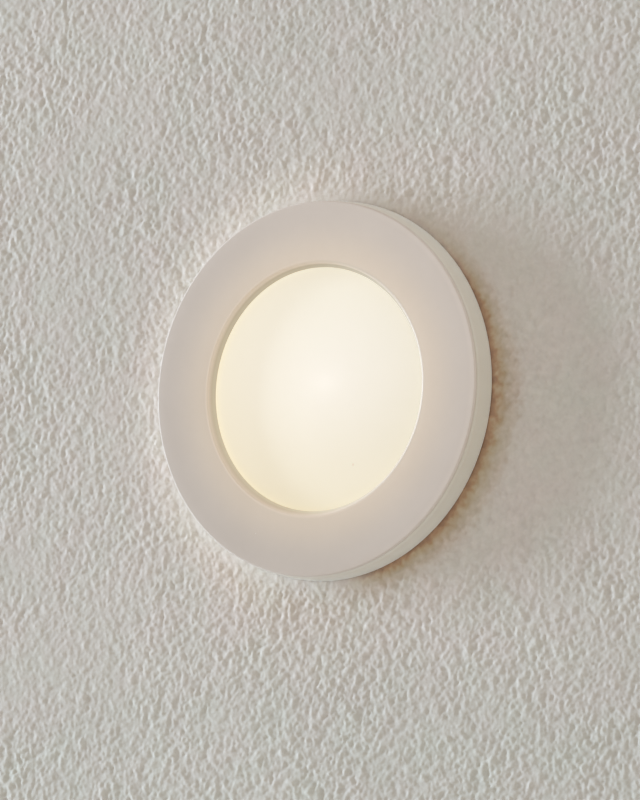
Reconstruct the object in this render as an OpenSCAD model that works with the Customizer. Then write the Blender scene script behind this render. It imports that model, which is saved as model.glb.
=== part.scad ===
/* [Trim ring] */
// Diameter of the ring at its rear edge, next to the wall
trim_d = 86; // [85:0.5:90]
// Diameter of the ring at its face: the side wall has a slight draft
trim_face_d = 84.9; // [84.6:0.1:86]
// Height of the ring from its rear edge to its face
trim_h = 6.2; // [5.8:0.1:7]
// Gap between the ring's rear edge and the wall
rim_gap = 0.1; // [0.1:0.1:0.5]
// Diameter of the opening in the ring, at the narrowest point of its bevelled edge
opening_d = 55.1; // [54.9:0.1:55.5]
// Depth of that point below the face
nose_h = 1.6; // [1.5:0.1:1.7]
// Width of the bevel, measured along the radius
bevel_w = 1.1; // [1:0.05:1.2]
// Depth of the lip's rear end below the face
lip_h = 2.4; // [2.3:0.1:2.5]
// Radius of the rounded outer edge of the face
edge_r = 0.4; // [0.3:0.05:0.8]
// Radius between the bevel and the face
opening_r = 0.8; // [0.4:0.1:1]
// Thickness of the ring's face
face_t = 1.6; // [1.4:0.1:1.6]
// Thickness of the ring's outer skirt
skirt_t = 1.7; // [1.4:0.1:1.8]

/* [Diffuser] */
// Diameter of the opal disc
diffuser_d = 62; // [61.6:0.1:62.2]
// Thickness of the opal disc
diffuser_t = 2; // [1.8:0.1:2]
// Thickness of the seal under the disc
seal_t = 0.7; // [0.7:0.1:0.9]

/* [Housing] */
// Diameter of the flange
flange_d = 80.8; // [80:0.2:81]
// Thickness of the flange
flange_t = 2; // [1.8:0.1:2]
// Diameter of the collar that enters the wall's cut-out
collar_d = 70.6; // [70.4:0.1:71]
// Length of the collar
collar_h = 3; // [2:0.5:3.5]
// Outer diameter of the cup
cup_d = 60; // [60:0.1:60.4]
// Wall thickness of the cup
cup_wall = 1.8; // [1.6:0.1:1.8]
// Depth of the cup behind the wall's surface
cup_depth = 30; // [30:0.5:34]
// Depth of the web that carries the LED board
web_y = 11.1; // [11.1:0.1:11.5]
// Thickness of the web
web_t = 2; // [1.8:0.1:2]
// Number of cooling fins on each half, above and below
fins = 9; // [3:2:9]
// Thickness of a cooling fin
fin_t = 1.2; // [0.8:0.1:1.4]

/* [Wall gasket] */
// Thickness of the gasket between the flange and the wall
gasket_t = 1; // [1:0.1:1.2]

/* [LED board] */
// Diameter of the LED board
board_d = 55; // [54:0.5:55]
// Thickness of the LED board
board_t = 1.6; // [1.5:0.1:1.6]
// LEDs on the outer circle
leds_outer = 8; // [4:1:8]
// LEDs on the inner circle
leds_inner = 4; // [3:1:5]

/* [Rear cover] */
// Thickness of the cover
cover_t = 2.4; // [2:0.1:3]
// Thickness of the cover's gasket
cover_gasket_t = 0.6; // [0.4:0.1:0.8]
// Distance of the cover screws from the centre
ear_pcd_r = 31.4; // [31.2:0.1:31.6]

/* [Cable gland] */
// Bore of the seal, where the supply cable enters
cable_bore_d = 6.2; // [5:0.1:6.4]
// Width across the flats of the gland's body
gland_af = 15; // [14:0.5:16]
// Width across the flats of the gland's nut
gland_nut_af = 14; // [13.5:0.5:14.5]

/* [Spring clips] */
// Distance of the hinge pins from the centre
pivot_x = 32.2; // [32.1:0.1:32.3]
// Depth of the hinge pins behind the wall's surface
pivot_y = 18; // [17.5:0.5:19]
// Diameter of the hinge pins
pin_d = 2; // [1.8:0.1:2]
// Length of an arm from its pin to its end
arm_l = 20; // [18:0.5:22]
// Forward tilt of the arms on their stops
arm_tilt = 35; // [30:1:36]
// Thickness of the arm's steel
arm_t = 1; // [0.8:0.1:1]
// Wire diameter of the torsion springs
spring_wire = 0.66; // [0.5:0.02:0.66]
// Turns of the torsion springs
spring_turns = 5; // [4:1:5]

/* [Terminal block] */
// Stroke of the release buttons
button_stroke = 1.3; // [1:0.1:1.4]
// Distance between the poles
pole_pitch = 7; // [6.5:0.5:7]

/* [Hidden] */
$fn = 96;
e = 0.02;

// depths along +Y, from the face (negative) into the wall (positive)
face_y = -(rim_gap + trim_h);
lip_y = face_y + lip_h;
diffuser_y = lip_y + 0.3;
seal_y = diffuser_y + diffuser_t;
seat_y = seal_y + seal_t;
flange_y = -(gasket_t + flange_t);
ring_y = face_y + face_t + 0.3;
cup_r = cup_d / 2;
cup_in = cup_r - cup_wall;
collar_r = collar_d / 2;
step_r = collar_r + 1.1;
flange_r = flange_d / 2;
pocket_r = diffuser_d / 2 + 0.3;
led_y = web_y - 0.5 - board_t;
cup_floor = web_y + web_t;
liner_r = 26;
driver_y = cup_floor + 3.4;
driver_top = driver_y + 1.6;
cover_y = cup_depth + cover_gasket_t;
cover_back = cover_y + cover_t;
screw_r = 34.9;
lead_x = 21.5;
flat_x = 29.2;
plate_t = 0.9;

// arcs as point lists, angles in degrees
function arc(c, r, a0, a1, n = 8) = [for (i = [0:n]) let (a = a0 + (a1 - a0) * i / n) [c[0] + r * cos(a), c[1] + r * sin(a)]];

// a drawing in the X-Z plane, extruded from depth y0 to depth y1
module slab(y0, y1) translate([0, y1, 0]) rotate([90, 0, 0]) linear_extrude(y1 - y0) children();
// a profile of [radius, depth] points turned about the Y axis
module turned(fn = 192) rotate([-90, 0, 0]) rotate_extrude($fn = fn) children();
// a cylinder along Y at a point [x, z]
module rod_y(p, r, y0, y1) slab(y0, y1) translate(p) circle(r);
module ring_of(n, r, a0 = 0) for (i = [0:n - 1]) rotate([0, a0 + i * 360 / n, 0]) translate([r, 0, 0]) children();
module mirrored_pair() { children(); mirror([1, 0, 0]) children(); }
// a screw along +Y with its head's seat at y = 0: head towards -Y
module pan_screw(d, l, head_r, head_h, slot = 0.5) {
    difference() {
        union() {
            rotate([90, 0, 0]) cylinder(r1 = head_r, r2 = head_r * 0.72, h = head_h, $fn = 48);
            rotate([-90, 0, 0]) cylinder(d = d, h = l, $fn = 32);
        }
        for (a = [0, 90]) rotate([0, a, 0]) translate([-head_r * 0.55, -head_h - e, -slot / 2]) cube([head_r * 1.1, head_h * 0.65, slot]);
    }
}
module sunk_screw(d, l, head_r, head_h, slot = 0.5) {
    difference() {
        union() {
            rotate([-90, 0, 0]) cylinder(r1 = head_r, r2 = d / 2, h = head_h, $fn = 48);
            rotate([-90, 0, 0]) cylinder(d = d, h = l, $fn = 32);
        }
        for (a = [0, 90]) rotate([0, a, 0]) translate([-head_r * 0.55, -e, -slot / 2]) cube([head_r * 1.1, head_h * 0.6, slot]);
    }
}

// ---- front ----
module trim_ring() color([0.86, 0.84, 0.80]) {
    r0 = opening_d / 2; r1 = trim_face_d / 2; r2 = trim_d / 2;
    bevel_a = atan(bevel_w / nose_h);
    turned(256) polygon(concat(
        // the lip: relieved behind its nose, bevelled in front of it
        [[r0 + 0.75, lip_y], [r0 + 0.06, face_y + nose_h + 0.1], [r0, face_y + nose_h]],
        arc([r0 + bevel_w + opening_r * tan(45 - bevel_a / 2), face_y + opening_r], opening_r, 180 + bevel_a, 270),
        arc([r1 - edge_r, face_y + edge_r], edge_r, 270, 360),
        // shallow cove between the face and the skirt
        [[r1, face_y + edge_r + 0.12], [r1 - 0.05, face_y + edge_r + 0.28], [r1 - 0.08, face_y + edge_r + 0.5], [r1 - 0.02, face_y + edge_r + 0.72], [r1 + 0.14, face_y + edge_r + 1.0]],
        [[r2, -rim_gap - 0.15], [r2 - 0.15, -rim_gap], [r2 - skirt_t, -rim_gap], [r2 - skirt_t - 0.2, face_y + face_t],
         [r0 + 1.95, face_y + face_t], [r0 + 1.75, lip_y]]));
    // bosses that hold the magnets, open at their rear end
    ring_of(4, screw_r) difference() {
        rod_y([0, 0], 3.4, face_y + face_t - e, face_y + face_t + 1.3);
        rod_y([0, 0], 2.5, face_y + face_t + 0.1, face_y + face_t + 2);
    }
}
module trim_magnets() color([0.72, 0.72, 0.74])
    ring_of(4, screw_r) rod_y([0, 0], 2.45, face_y + face_t + 0.1, face_y + face_t + 1.3);
module strike_plates() color([0.6, 0.6, 0.62])
    ring_of(4, screw_r) rod_y([0, 0], 3, flange_y, flange_y + 0.7);
module diffuser_ring() color([0.92, 0.92, 0.90]) difference() {
    ri = opening_d / 2 + 2.25;
    turned() polygon([[ri, ring_y], [flange_r - 1.8, ring_y], [flange_r - 1.8, flange_y], [diffuser_d / 2 + 0.25, flange_y],
                      [diffuser_d / 2 + 0.25, diffuser_y], [ri, diffuser_y]]);
    ring_of(4, screw_r) slab(ring_y - 1, flange_y + 1) circle(4.1);
    ring_of(4, screw_r, 45) { rod_y([0, 0], 1.3, ring_y - 1, flange_y + 1); translate([0, ring_y, 0]) rotate([-90, 0, 0]) translate([0, 0, -e]) cylinder(r1 = 2.4, r2 = 1.3, h = 1.1 + e, $fn = 48); }
}
module ring_screws() color([0.75, 0.75, 0.76]) ring_of(4, screw_r, 45) translate([0, ring_y + 0.05, 0]) sunk_screw(2.5, 3.1, 2.3, 1.1);
module diffuser() color([1, 0.96, 0.86]) turned(256) polygon([
    [0, diffuser_y], [diffuser_d / 2 - 0.2, diffuser_y], [diffuser_d / 2, diffuser_y + 0.2],
    [diffuser_d / 2, seal_y - 0.2], [diffuser_d / 2 - 0.2, seal_y], [0, seal_y]]);
module diffuser_seal() color([0.85, 0.85, 0.85]) turned() polygon([
    [cup_in + 0.8, seal_y], [diffuser_d / 2 + 0.1, seal_y], [diffuser_d / 2 + 0.1, seat_y], [cup_in + 0.8, seat_y]]);

// ---- housing ----
module housing() color([0.80, 0.80, 0.80]) difference() {
    union() {
        turned() polygon([[pocket_r, flange_y], [flange_r - 0.3, flange_y], [flange_r, flange_y + 0.3], [flange_r, -gasket_t],
            [step_r, -gasket_t], [step_r, 0], [collar_r, 0], [collar_r, collar_h], [collar_r - 0.6, collar_h + 0.6],
            [cup_r + 1.5, collar_h + 0.6], [cup_r, collar_h + 2.1], [cup_r, cup_depth], [cup_in, cup_depth], [cup_in, cup_floor],
            [0, cup_floor], [0, web_y], [cup_in, web_y], [cup_in, seat_y], [pocket_r, seat_y]]);
        // flat pads for the clip brackets, thickened inwards for their screws
        mirrored_pair() {
            intersection() {
                translate([25, 11, -7.2]) cube([flat_x - 25, 18.2, 14.4]);
                rotate([-90, 0, 0]) difference() { cylinder(r = 40, h = cup_depth - 0.8); translate([0, 0, -1]) cylinder(r = cup_in - 0.4, h = 60); }
            }
            translate([26.3, 21, -6.6]) cube([flat_x - 26.3, 7, 13.2]);
        }
        // cooling fins
        for (s = [0, 180], i = [0:fins - 1]) rotate([0, s, 0]) rotate([0, 90 - 4 * (fins - 1) + i * 8, 0])
            translate([cup_r - 0.6, 6.5, -fin_t / 2]) cube([2.7, cup_depth - 8, fin_t]);
        // ears for the cover screws
        ring_of(4, ear_pcd_r, 45) { rod_y([0, 0], 3.1, 19, cup_depth); translate([-3, 19, -3.1]) cube([3, cup_depth - 19, 6.2]); }
    }
    // the cup's side is cut back flat where the brackets sit
    mirrored_pair() translate([flat_x, 10.5, -7.2]) cube([8, 19.2, 14.4]);
    mirrored_pair() for (z = [-4.2, 4.2]) translate([flat_x - 3.5, 25, z]) rotate([0, 90, 0]) cylinder(r = 1.28, h = 5, $fn = 32);
    // inside of the cup stays round where the ears meet it
    difference() { rotate([-90, 0, 0]) translate([0, 0, cup_floor]) cylinder(r = cup_in, h = 40); mirrored_pair() translate([26.3, 21, -6.6]) cube([6, 7, 13.2]); }
    ring_of(4, ear_pcd_r, 45) rod_y([0, 0], 1.53, 22, cup_depth + 1);
    ring_of(4, screw_r, 45) rod_y([0, 0], 1.28, flange_y - 1, flange_y + 1.8);
    ring_of(4, screw_r) rod_y([0, 0], 3.02, flange_y - 1, flange_y + 0.7);
    ring_of(3, 24, 90) rod_y([0, 0], 1.28, web_y - 1, web_y + 1.95);
    rod_y([lead_x, 0], 2.6, web_y - 1, cup_floor + 1);
}
module wall_gasket() color([0.16, 0.16, 0.17]) turned() polygon([
    [step_r, -gasket_t], [flange_r - 0.2, -gasket_t], [flange_r - 0.2, 0], [step_r, 0]]);

// ---- light chamber ----
module reflector() color([0.97, 0.97, 0.95]) turned() polygon([
    [cup_in - 0.3, seat_y + 0.3], [cup_in - 0.3, led_y], [cup_in - 1.6, led_y], [cup_in - 1, seat_y + 0.3]]);
module led_board() color([0.93, 0.93, 0.90]) slab(led_y, led_y + board_t) difference() {
    circle(d = board_d);
    ring2(3, 24, 90) circle(1.4, $fn = 32);
    translate([lead_x, 0]) circle(2.2, $fn = 32);
}
module led() { translate([-1.75, -0.7, -1.4]) cube([3.5, 0.7, 2.8]); rotate([90, 0, 0]) cylinder(r = 1.15, h = 0.8, $fn = 32); }
module leds() color([0.98, 0.9, 0.55]) translate([0, led_y, 0]) {
    ring_of(leds_outer, 17.5, 22.5) led();
    ring_of(leds_inner, 7.5, 45) led();
}
module led_board_screws() color([0.75, 0.75, 0.76]) ring_of(3, 24, 90) translate([0, led_y, 0]) pan_screw(2.5, 4, 2.2, 1.4);
module thermal_pad() color([0.55, 0.6, 0.68]) slab(led_y + board_t, web_y) difference() {
    circle(r = board_d / 2 - 0.5);
    ring2(3, 24, 90) circle(1.6, $fn = 32);
    translate([lead_x, 0]) circle(2.8, $fn = 32);
}
// two insulated wires, bent at right angles between the boards
module lead(z) {
    r = 0.6;
    translate([17.6, led_y - 1.2, z]) rotate([-90, 0, 0]) cylinder(r = r, h = 1.2, $fn = 24);
    translate([17.6, led_y - 1.2, z]) sphere(r, $fn = 24);
    translate([17.6, led_y - 1.2, z]) rotate([0, 90, 0]) cylinder(r = r, h = lead_x - 17.6, $fn = 24);
    translate([lead_x, led_y - 1.2, z]) sphere(r, $fn = 24);
    translate([lead_x, led_y - 1.2, z]) rotate([-90, 0, 0]) cylinder(r = r, h = driver_top + 2.4 - led_y, $fn = 24);
    translate([lead_x, driver_top + 1.2, z]) sphere(r, $fn = 24);
    translate([18.4, driver_top + 1.2, z]) rotate([0, 90, 0]) cylinder(r = r, h = lead_x - 18.4, $fn = 24);
    translate([18.4, driver_top + 1.2, z]) sphere(r, $fn = 24);
    translate([18.4, driver_top, z]) rotate([-90, 0, 0]) cylinder(r = r, h = 1.2, $fn = 24);
}
module led_leads() color([0.75, 0.2, 0.15]) { lead(0.8); lead(-0.8); }
module lead_grommet() color([0.2, 0.2, 0.22]) translate([lead_x, 0, 0]) difference() {
    turned(64) polygon([[0, web_y - 0.4], [2.15, web_y - 0.4], [2.55, web_y], [2.55, cup_floor - 0.05], [0, cup_floor - 0.05]]);
    for (z = [-0.8, 0.8]) rod_y([0, z], 0.65, web_y - 2, cup_floor + 2);
    slab(web_y - 2, cup_floor + 2) square([0.5, 1.6], center = true);
}

// ---- driver ----
module driver_cup() color([0.88, 0.88, 0.86]) difference() {
    union() {
        turned() polygon([[0, cup_floor], [liner_r, cup_floor], [liner_r, cup_depth], [liner_r - 1, cup_depth],
                          [liner_r - 1, cup_floor + 1], [0, cup_floor + 1]]);
        ring_of(3, 22, 60) rod_y([0, 0], 2.3, cup_floor + 0.5, driver_y);
    }
    ring_of(3, 22, 60) rod_y([0, 0], 0.98, cup_floor + 1, driver_y + 1);
    rod_y([lead_x, 0], 2.7, cup_floor - 1, cup_floor + 2);
}
// [x, z, radius] of the board's lead holes
lead_holes = concat([for (s = [-1, 1]) [-13.5, -10 + s * 5.8, 0.36]], [for (z = [-1, 4]) [-18.8, z, 0.41]],
    [for (s = [-1, 1]) [14.2 + s * 1.75, -14, 0.36]], [for (x = [13.6, 16]) [x, 12.5, 0.31]],
    [for (x = [-3.5, 3.5], z = [15, 17]) [x, z, 0.36]], [for (s = [-1, 1]) [s * pole_pitch / 2, -16.55, 0.52]],
    [for (s = [-1, 1]) [-13.2 + s * 2.2, 16.5, 0.36]]);
module driver_board() color([0.10, 0.42, 0.22]) slab(driver_y, driver_top) difference() {
    circle(r = liner_r - 1.5);
    for (h = lead_holes) translate([h[0], h[1]]) circle(h[2], $fn = 24);
    ring2(3, 22, 60) circle(1.1, $fn = 32);
    translate([lead_x, 0]) circle(2, $fn = 32);
}
module ring2(n, r, a0) for (i = [0:n - 1]) rotate(-(a0 + i * 360 / n)) translate([r, 0]) children();
module driver_board_screws() color([0.75, 0.75, 0.76]) ring_of(3, 22, 60) translate([0, driver_top, 0]) mirror([0, 1, 0]) pan_screw(1.9, 3.8, 1.8, 1.2, 0.4);
// block of two poles: a shaft for each button from the rear, a wire entry from above
block_z0 = -20.2; block_z1 = -11.2; block_h = 9;
module terminal_block() color([0.90, 0.90, 0.88]) difference() {
    translate([-pole_pitch - 0.3, driver_top, block_z0]) cube([2 * pole_pitch + 0.6, block_h, block_z1 - block_z0]);
    for (s = [-1, 1]) translate([s * pole_pitch / 2, 0, 0]) {
        // shaft, the chamber under it, and the round wire entry
        translate([-1.8, driver_top + 3, -18.6]) cube([3.6, block_h, 3.6]);
        translate([-2.4, driver_top + 1, -18.9]) cube([4.8, 5, 5.4]);
        translate([0, driver_top + 3.6, -15]) cylinder(r = 1.3, h = 10, $fn = 32);
        translate([0, driver_top + 3.6, block_z1 - 1]) cylinder(r1 = 1.3, r2 = 2, h = 1 + e, $fn = 32);
        translate([-0.45, driver_top - 1, -16.85]) cube([0.9, 3, 0.6]);
    }
}
module terminal_contacts() color([0.80, 0.60, 0.32]) for (s = [-1, 1]) translate([s * pole_pitch / 2, 0, 0]) {
    translate([-1.5, driver_top + 1, -18.8]) cube([3, 0.4, 5.2]);
    translate([-1.5, driver_top + 1, -14.2]) cube([3, 1.1, 0.4]);
    translate([-0.4, driver_y - 0.6, -16.8]) cube([0.8, 3.4, 0.5]);
}
module terminal_button(s) color([0.93, 0.45, 0.10]) translate([s * pole_pitch / 2, 0, 0]) {
    translate([-1.6, driver_top + 4.6, -18.4]) cube([3.2, block_h - 4.6 + 1.6, 3.2]);
    translate([-1.6, driver_top + 3.9, -18.4]) cube([3.2, 0.8, 1.6]);
}
module terminal_button_left() terminal_button(-1);
module terminal_button_right() terminal_button(1);
// parts that stand on the driver board
module leads_down(p, r = 0.3) for (q = p) rod_y(q, r, driver_y - 0.5, driver_top + 0.6);
module fuse_resistor() color([0.35, 0.55, 0.35]) translate([-13.5, driver_top + 1.9, -10]) {
    rotate([0, 0, 0]) cylinder(r = 1.6, h = 8, center = true, $fn = 48);
    for (s = [-1, 1]) { translate([0, 0, s * 3.4]) cylinder(r = 1.8, h = 1.2, center = true, $fn = 48);
        translate([0, 0, s * 5]) cylinder(r = 0.3, h = 2.2, center = true, $fn = 16);
        translate([0, 0, s * 5.8]) rotate([90, 0, 0]) cylinder(r = 0.3, h = 1.9 + 1.6 + 0.4, $fn = 16); }
}
module varistor() color([0.20, 0.35, 0.65]) {
    translate([-18.8, driver_top + 4.9, 1.5]) rotate([0, 90, 0]) cylinder(r = 3.8, h = 3, center = true, $fn = 64);
    leads_down([[-18.8, -1], [-18.8, 4]], 0.35);
    for (z = [-1, 4]) rod_y([-18.8, z], 0.35, driver_top, driver_top + 2.6);
}
module bridge_rectifier() color([0.12, 0.12, 0.13]) translate([-12, driver_top, 9.5]) {
    translate([-3.2, 0.6, -2.4]) cube([6.4, 2.4, 4.8]);
    for (x = [-2.2, 2.2], s = [-1, 1]) { translate([x - 0.4, 0, s > 0 ? 2.4 : -3.6]) cube([0.8, 0.3, 1.2]); translate([x - 0.4, 0, s > 0 ? 2.2 : -2.6]) cube([0.8, 1.2, 0.4]); }
}
module bulk_capacitor() color([0.10, 0.12, 0.20]) translate([14.2, driver_top + 4.2, -13.2]) {
    difference() { cylinder(r = 4, h = 11, $fn = 64); translate([0, 0, 1.2]) rotate_extrude($fn = 64) translate([4.35, 0]) circle(0.6, $fn = 24); }
    for (s = [-1, 1]) { translate([s * 1.75, 0, -1]) cylinder(r = 0.3, h = 1.2, $fn = 16); translate([s * 1.75, 0, -0.8]) rotate([90, 0, 0]) cylinder(r = 0.3, h = 6.2, $fn = 16); }
}
module output_capacitor() color([0.12, 0.14, 0.24]) {
    difference() { rod_y([14.8, 12.5], 3.15, driver_top + 0.3, driver_top + 8); translate([14.8, driver_top + 1.5, 12.5]) rotate([-90, 0, 0]) rotate_extrude($fn = 64) translate([3.45, 0]) circle(0.5, $fn = 24); }
    leads_down([[13.6, 12.5], [16, 12.5]], 0.25);
}
module driver_ic() color([0.10, 0.10, 0.11]) translate([8.6, driver_top, 4]) {
    translate([-2, 0.2, -2.5]) cube([4, 1.5, 5]);
    for (i = [0:3], s = [-1, 1]) translate([s > 0 ? 1.9 : -3, 0, -2.1 + i * 1.27]) cube([1.1, 0.35, 0.45]);
}
module choke_core() color([0.25, 0.25, 0.27]) rotate([0, 0, 0]) translate([-13.2, 0, 16.5]) turned(64) polygon([
    [0, driver_top + 0.3], [3, driver_top + 0.3], [3, driver_top + 1.3], [1.5, driver_top + 1.3], [1.5, driver_top + 5.7], [3, driver_top + 5.7], [3, driver_top + 6.7], [0, driver_top + 6.7]]);
module choke_winding() color([0.72, 0.38, 0.16]) translate([-13.2, 0, 16.5]) turned(64) polygon(concat(
    [[1.52, driver_top + 5.6], [1.52, driver_top + 1.4]],
    [for (i = [0:6], j = [0:4]) let (a = -90 + 180 * j / 4) [2.35 + 0.3 * cos(a), driver_top + 1.7 + i * 0.6 + 0.3 * sin(a)]]));
module transformer_core() color([0.22, 0.22, 0.24]) difference() {
    translate([-6.5, driver_top + 1.2, 11]) cube([13, 7.6, 9.4]);
    for (s = [-1, 1]) translate([s > 0 ? 2 : -4.9, driver_top - 1, 13.2]) cube([2.9, 12, 5]);
}
module transformer_winding() color([0.93, 0.76, 0.20]) {
    difference() {
        translate([-4.7, driver_top + 0.3, 13.4]) cube([9.4, 9.2, 4.6]);
        translate([-2.05, driver_top + 1.15, 13]) cube([4.1, 7.7, 6]);
    }
    leads_down([[-3.5, 15], [-3.5, 17], [3.5, 15], [3.5, 17]], 0.3);
}

// ---- rear cover ----
module cover_outline(shrink = 0) {
    circle(r = cup_r - shrink, $fn = 192);
    ring2(4, ear_pcd_r, 45) circle(3.1 - shrink, $fn = 48);
    ring2(4, ear_pcd_r, 45) translate([-3, -3.1 + shrink]) square([3, 6.2 - 2 * shrink]);
}
module rear_cover() color([0.90, 0.90, 0.88]) difference() {
    union() {
        slab(cover_y, cover_back - 0.4) difference() { cover_outline(); ring2(4, ear_pcd_r, 45) circle(1.7, $fn = 32); }
        slab(cover_back - 0.5, cover_back) difference() { cover_outline(0.4); ring2(4, ear_pcd_r, 45) circle(1.7, $fn = 32); }
        // raised seat for the gland
        rod_y([0, 0], 11, cover_back - 0.5, cover_back + 0.8);
    }
    rod_y([0, 0], 6.1, cover_y - 1, cover_back + 2);
    // eight sunken fields leave ribs between them
    slab(cover_back - 0.5, cover_back + 1) offset(r = 1.2, $fn = 48) offset(delta = -1.2) for (k = [0:7]) let (a0 = 45 * k + 2.2, a1 = 45 * k + 42.8)
        polygon(concat([for (t = [0:16]) 14.2 * [cos(a0 + 1.6 + (a1 - a0 - 3.2) * t / 16), sin(a0 + 1.6 + (a1 - a0 - 3.2) * t / 16)]],
            [for (t = [0:24]) 26.2 * [cos(a1 - (a1 - a0) * t / 24), sin(a1 - (a1 - a0) * t / 24)]]));
}
module cover_gasket() color([0.18, 0.18, 0.19]) slab(cup_depth, cover_y) difference() {
    cover_outline(0.1);
    circle(r = cup_in + 0.1, $fn = 192);
    ring2(4, ear_pcd_r, 45) circle(1.7, $fn = 32);
}
module cover_screws() color([0.75, 0.75, 0.76]) ring_of(4, ear_pcd_r, 45) translate([0, cover_back, 0]) mirror([0, 1, 0]) pan_screw(3, 10.5, 2.7, 1.9, 0.7);

// ---- cable gland, on the cover's centre ----
seat_back = cover_back + 0.8;
module hexagon(af) circle(d = af / cos(30), $fn = 6);
module gland_body() color([0.30, 0.31, 0.33]) difference() {
    union() {
        rod_y([0, 0], 5.95, cover_y - 3.2, seat_back + 1);
        slab(seat_back + 0.8, seat_back + 4.8) intersection() { hexagon(gland_af); circle(r = gland_af / 2 + 0.75); }
        rod_y([0, 0], 5.3, seat_back + 4.6, seat_back + 9.6);
    }
    rod_y([0, 0], 3.6, cover_y - 4, seat_back + 12);
    rod_y([0, 0], 4.4, seat_back + 5, seat_back + 12);
}
module gland_washer() color([0.12, 0.12, 0.13]) turned(96) polygon([[6, seat_back], [7.4, seat_back], [7.4, seat_back + 0.8], [6, seat_back + 0.8]]);
module gland_locknut() color([0.32, 0.33, 0.35]) slab(cover_y - 2.8, cover_y) difference() {
    intersection() { hexagon(gland_af); circle(r = gland_af / 2 + 0.75); }
    circle(r = 5.97);
}
module gland_seal() color([0.10, 0.10, 0.11]) turned(96) polygon([
    [cable_bore_d / 2, seat_back + 5.05], [4.35, seat_back + 5.05], [4.35, seat_back + 10.2], [4, seat_back + 10.9], [cable_bore_d / 2, seat_back + 10.9]]);
module gland_nut() color([0.30, 0.31, 0.33]) difference() {
    union() {
        slab(seat_back + 5.2, seat_back + 10.4) intersection() { hexagon(gland_nut_af); circle(r = gland_nut_af / 2 + 0.7); }
        turned(96) polygon(concat([[0, seat_back + 10.3], [gland_nut_af / 2, seat_back + 10.3]],
            arc([gland_nut_af / 2 - 3.2, seat_back + 10.6], 3.2, 0, 80), [[cable_bore_d / 2 + 0.3, seat_back + 13.8], [0, seat_back + 13.8]]));
    }
    rod_y([0, 0], 5.35, seat_back + 4, seat_back + 10.2);
    rod_y([0, 0], 4.45, seat_back + 10, seat_back + 11);
    rod_y([0, 0], cable_bore_d / 2 + 0.3, seat_back + 9, seat_back + 16);
}

// ---- spring clips: drawn on the +X side, mirrored for the other ----
ear_z = 5.75; ear_t = 0.8; plate_x = flat_x + plate_t;
module clip_bracket() color([0.78, 0.76, 0.66]) difference() {
    union() {
        // base plate with rounded ends
        translate([flat_x, 0, 0]) rotate([0, 90, 0]) linear_extrude(plate_t) difference() {
            translate([-(ear_z + ear_t), 12.4]) square([2 * (ear_z + ear_t), 16.2]);
            for (s = [-1, 1]) translate([s * (ear_z + ear_t), 28.6]) rotate(45) square(2.2, center = true);
        }
        // two ears that carry the pin
        for (z = [ear_z, -ear_z - ear_t]) translate([0, 0, z]) linear_extrude(ear_t) {
            translate([pivot_x, pivot_y]) circle(1.9, $fn = 48);
            translate([plate_x - 0.2, pivot_y - 3]) square([pivot_x - plate_x - 0.4, 6]);
            polygon([[pivot_x - 0.7, pivot_y - 3], [pivot_x + 1.35, pivot_y - 1.34], [pivot_x + 1.35, pivot_y + 1.34], [pivot_x - 0.7, pivot_y + 3]]);
        }
    }
    translate([pivot_x, pivot_y, -10]) cylinder(d = pin_d, h = 20, $fn = 48);
    for (z = [-4.2, 4.2]) translate([flat_x - 1, 25, z]) rotate([0, 90, 0]) cylinder(r = 1.35, h = 4, $fn = 32);
    // hole for the hooked end of the spring
    translate([flat_x - 1, pivot_y - 4, -2.7]) rotate([0, 90, 0]) cylinder(r = 0.5, h = 4, $fn = 24);
}
module clip_pin() color([0.7, 0.7, 0.72]) translate([pivot_x, pivot_y, 0]) {
    cylinder(d = pin_d, h = 2 * (ear_z + ear_t), center = true, $fn = 48);
    for (s = [0, 180]) rotate([s, 0, 0]) translate([0, 0, ear_z + ear_t]) cylinder(r1 = 1.5, r2 = 1.1, h = 0.6, $fn = 48);
}
// the arm in its own plane: along +u from the pin, turned forward to its stop
lug_z = 4.6; lug_t = 0.8; arm_w = lug_z + lug_t;
module at_arm() translate([pivot_x, pivot_y, 0]) rotate([0, 0, -arm_tilt]) children();
module clip_arm() color([0.80, 0.79, 0.74]) at_arm() difference() {
    union() {
        for (z = [lug_z, -arm_w]) translate([0, 0, z]) linear_extrude(lug_t) {
            circle(1.7, $fn = 48);
            translate([-1.3, -1.3]) square(1.3);
            polygon([[0, -1.7], [3.4, -1.1], [5.2, -arm_t / 2], [5.2, arm_t / 2], [3.4, 1.1], [0, 1.7]]);
        }
        translate([3.2, arm_t / 2, 0]) rotate([90, 0, 0]) linear_extrude(arm_t) difference() {
            translate([0, -arm_w]) square([arm_l - 3.2 - 0.7, 2 * arm_w]);
            for (s = [-1, 1]) translate([arm_l - 3.9, s * arm_w]) rotate(45) square(2.6, center = true);
        }
        // a pressed rib stiffens the strip
        translate([5.5, -arm_t / 2 - 0.35, -1]) cube([7.5, 0.5, 2]);
    }
    translate([0, 0, -10]) cylinder(r = pin_d / 2 + 0.05, h = 20, $fn = 48);
}
module clip_pad() color([0.14, 0.14, 0.15]) at_arm() difference() {
    union() {
        translate([14.2, -1.5, -arm_w - 0.6]) cube([arm_l - 14.2, 3, 2 * arm_w + 1.2]);
        translate([arm_l, 0, 0]) cylinder(r = 1.5, h = 2 * arm_w + 1.2, center = true, $fn = 48);
    }
    translate([13, -arm_t / 2, -arm_w]) cube([arm_l - 13 - 0.7, arm_t, 2 * arm_w]);
    // the strip's cut corners are filled by the sleeve
}
module bracket_screws() color([0.75, 0.75, 0.76]) mirrored_pair() for (z = [-4.2, 4.2])
    translate([plate_x, 25, z]) rotate([0, 0, 90]) pan_screw(2.5, 3.4, 2, 1.2);

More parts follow.
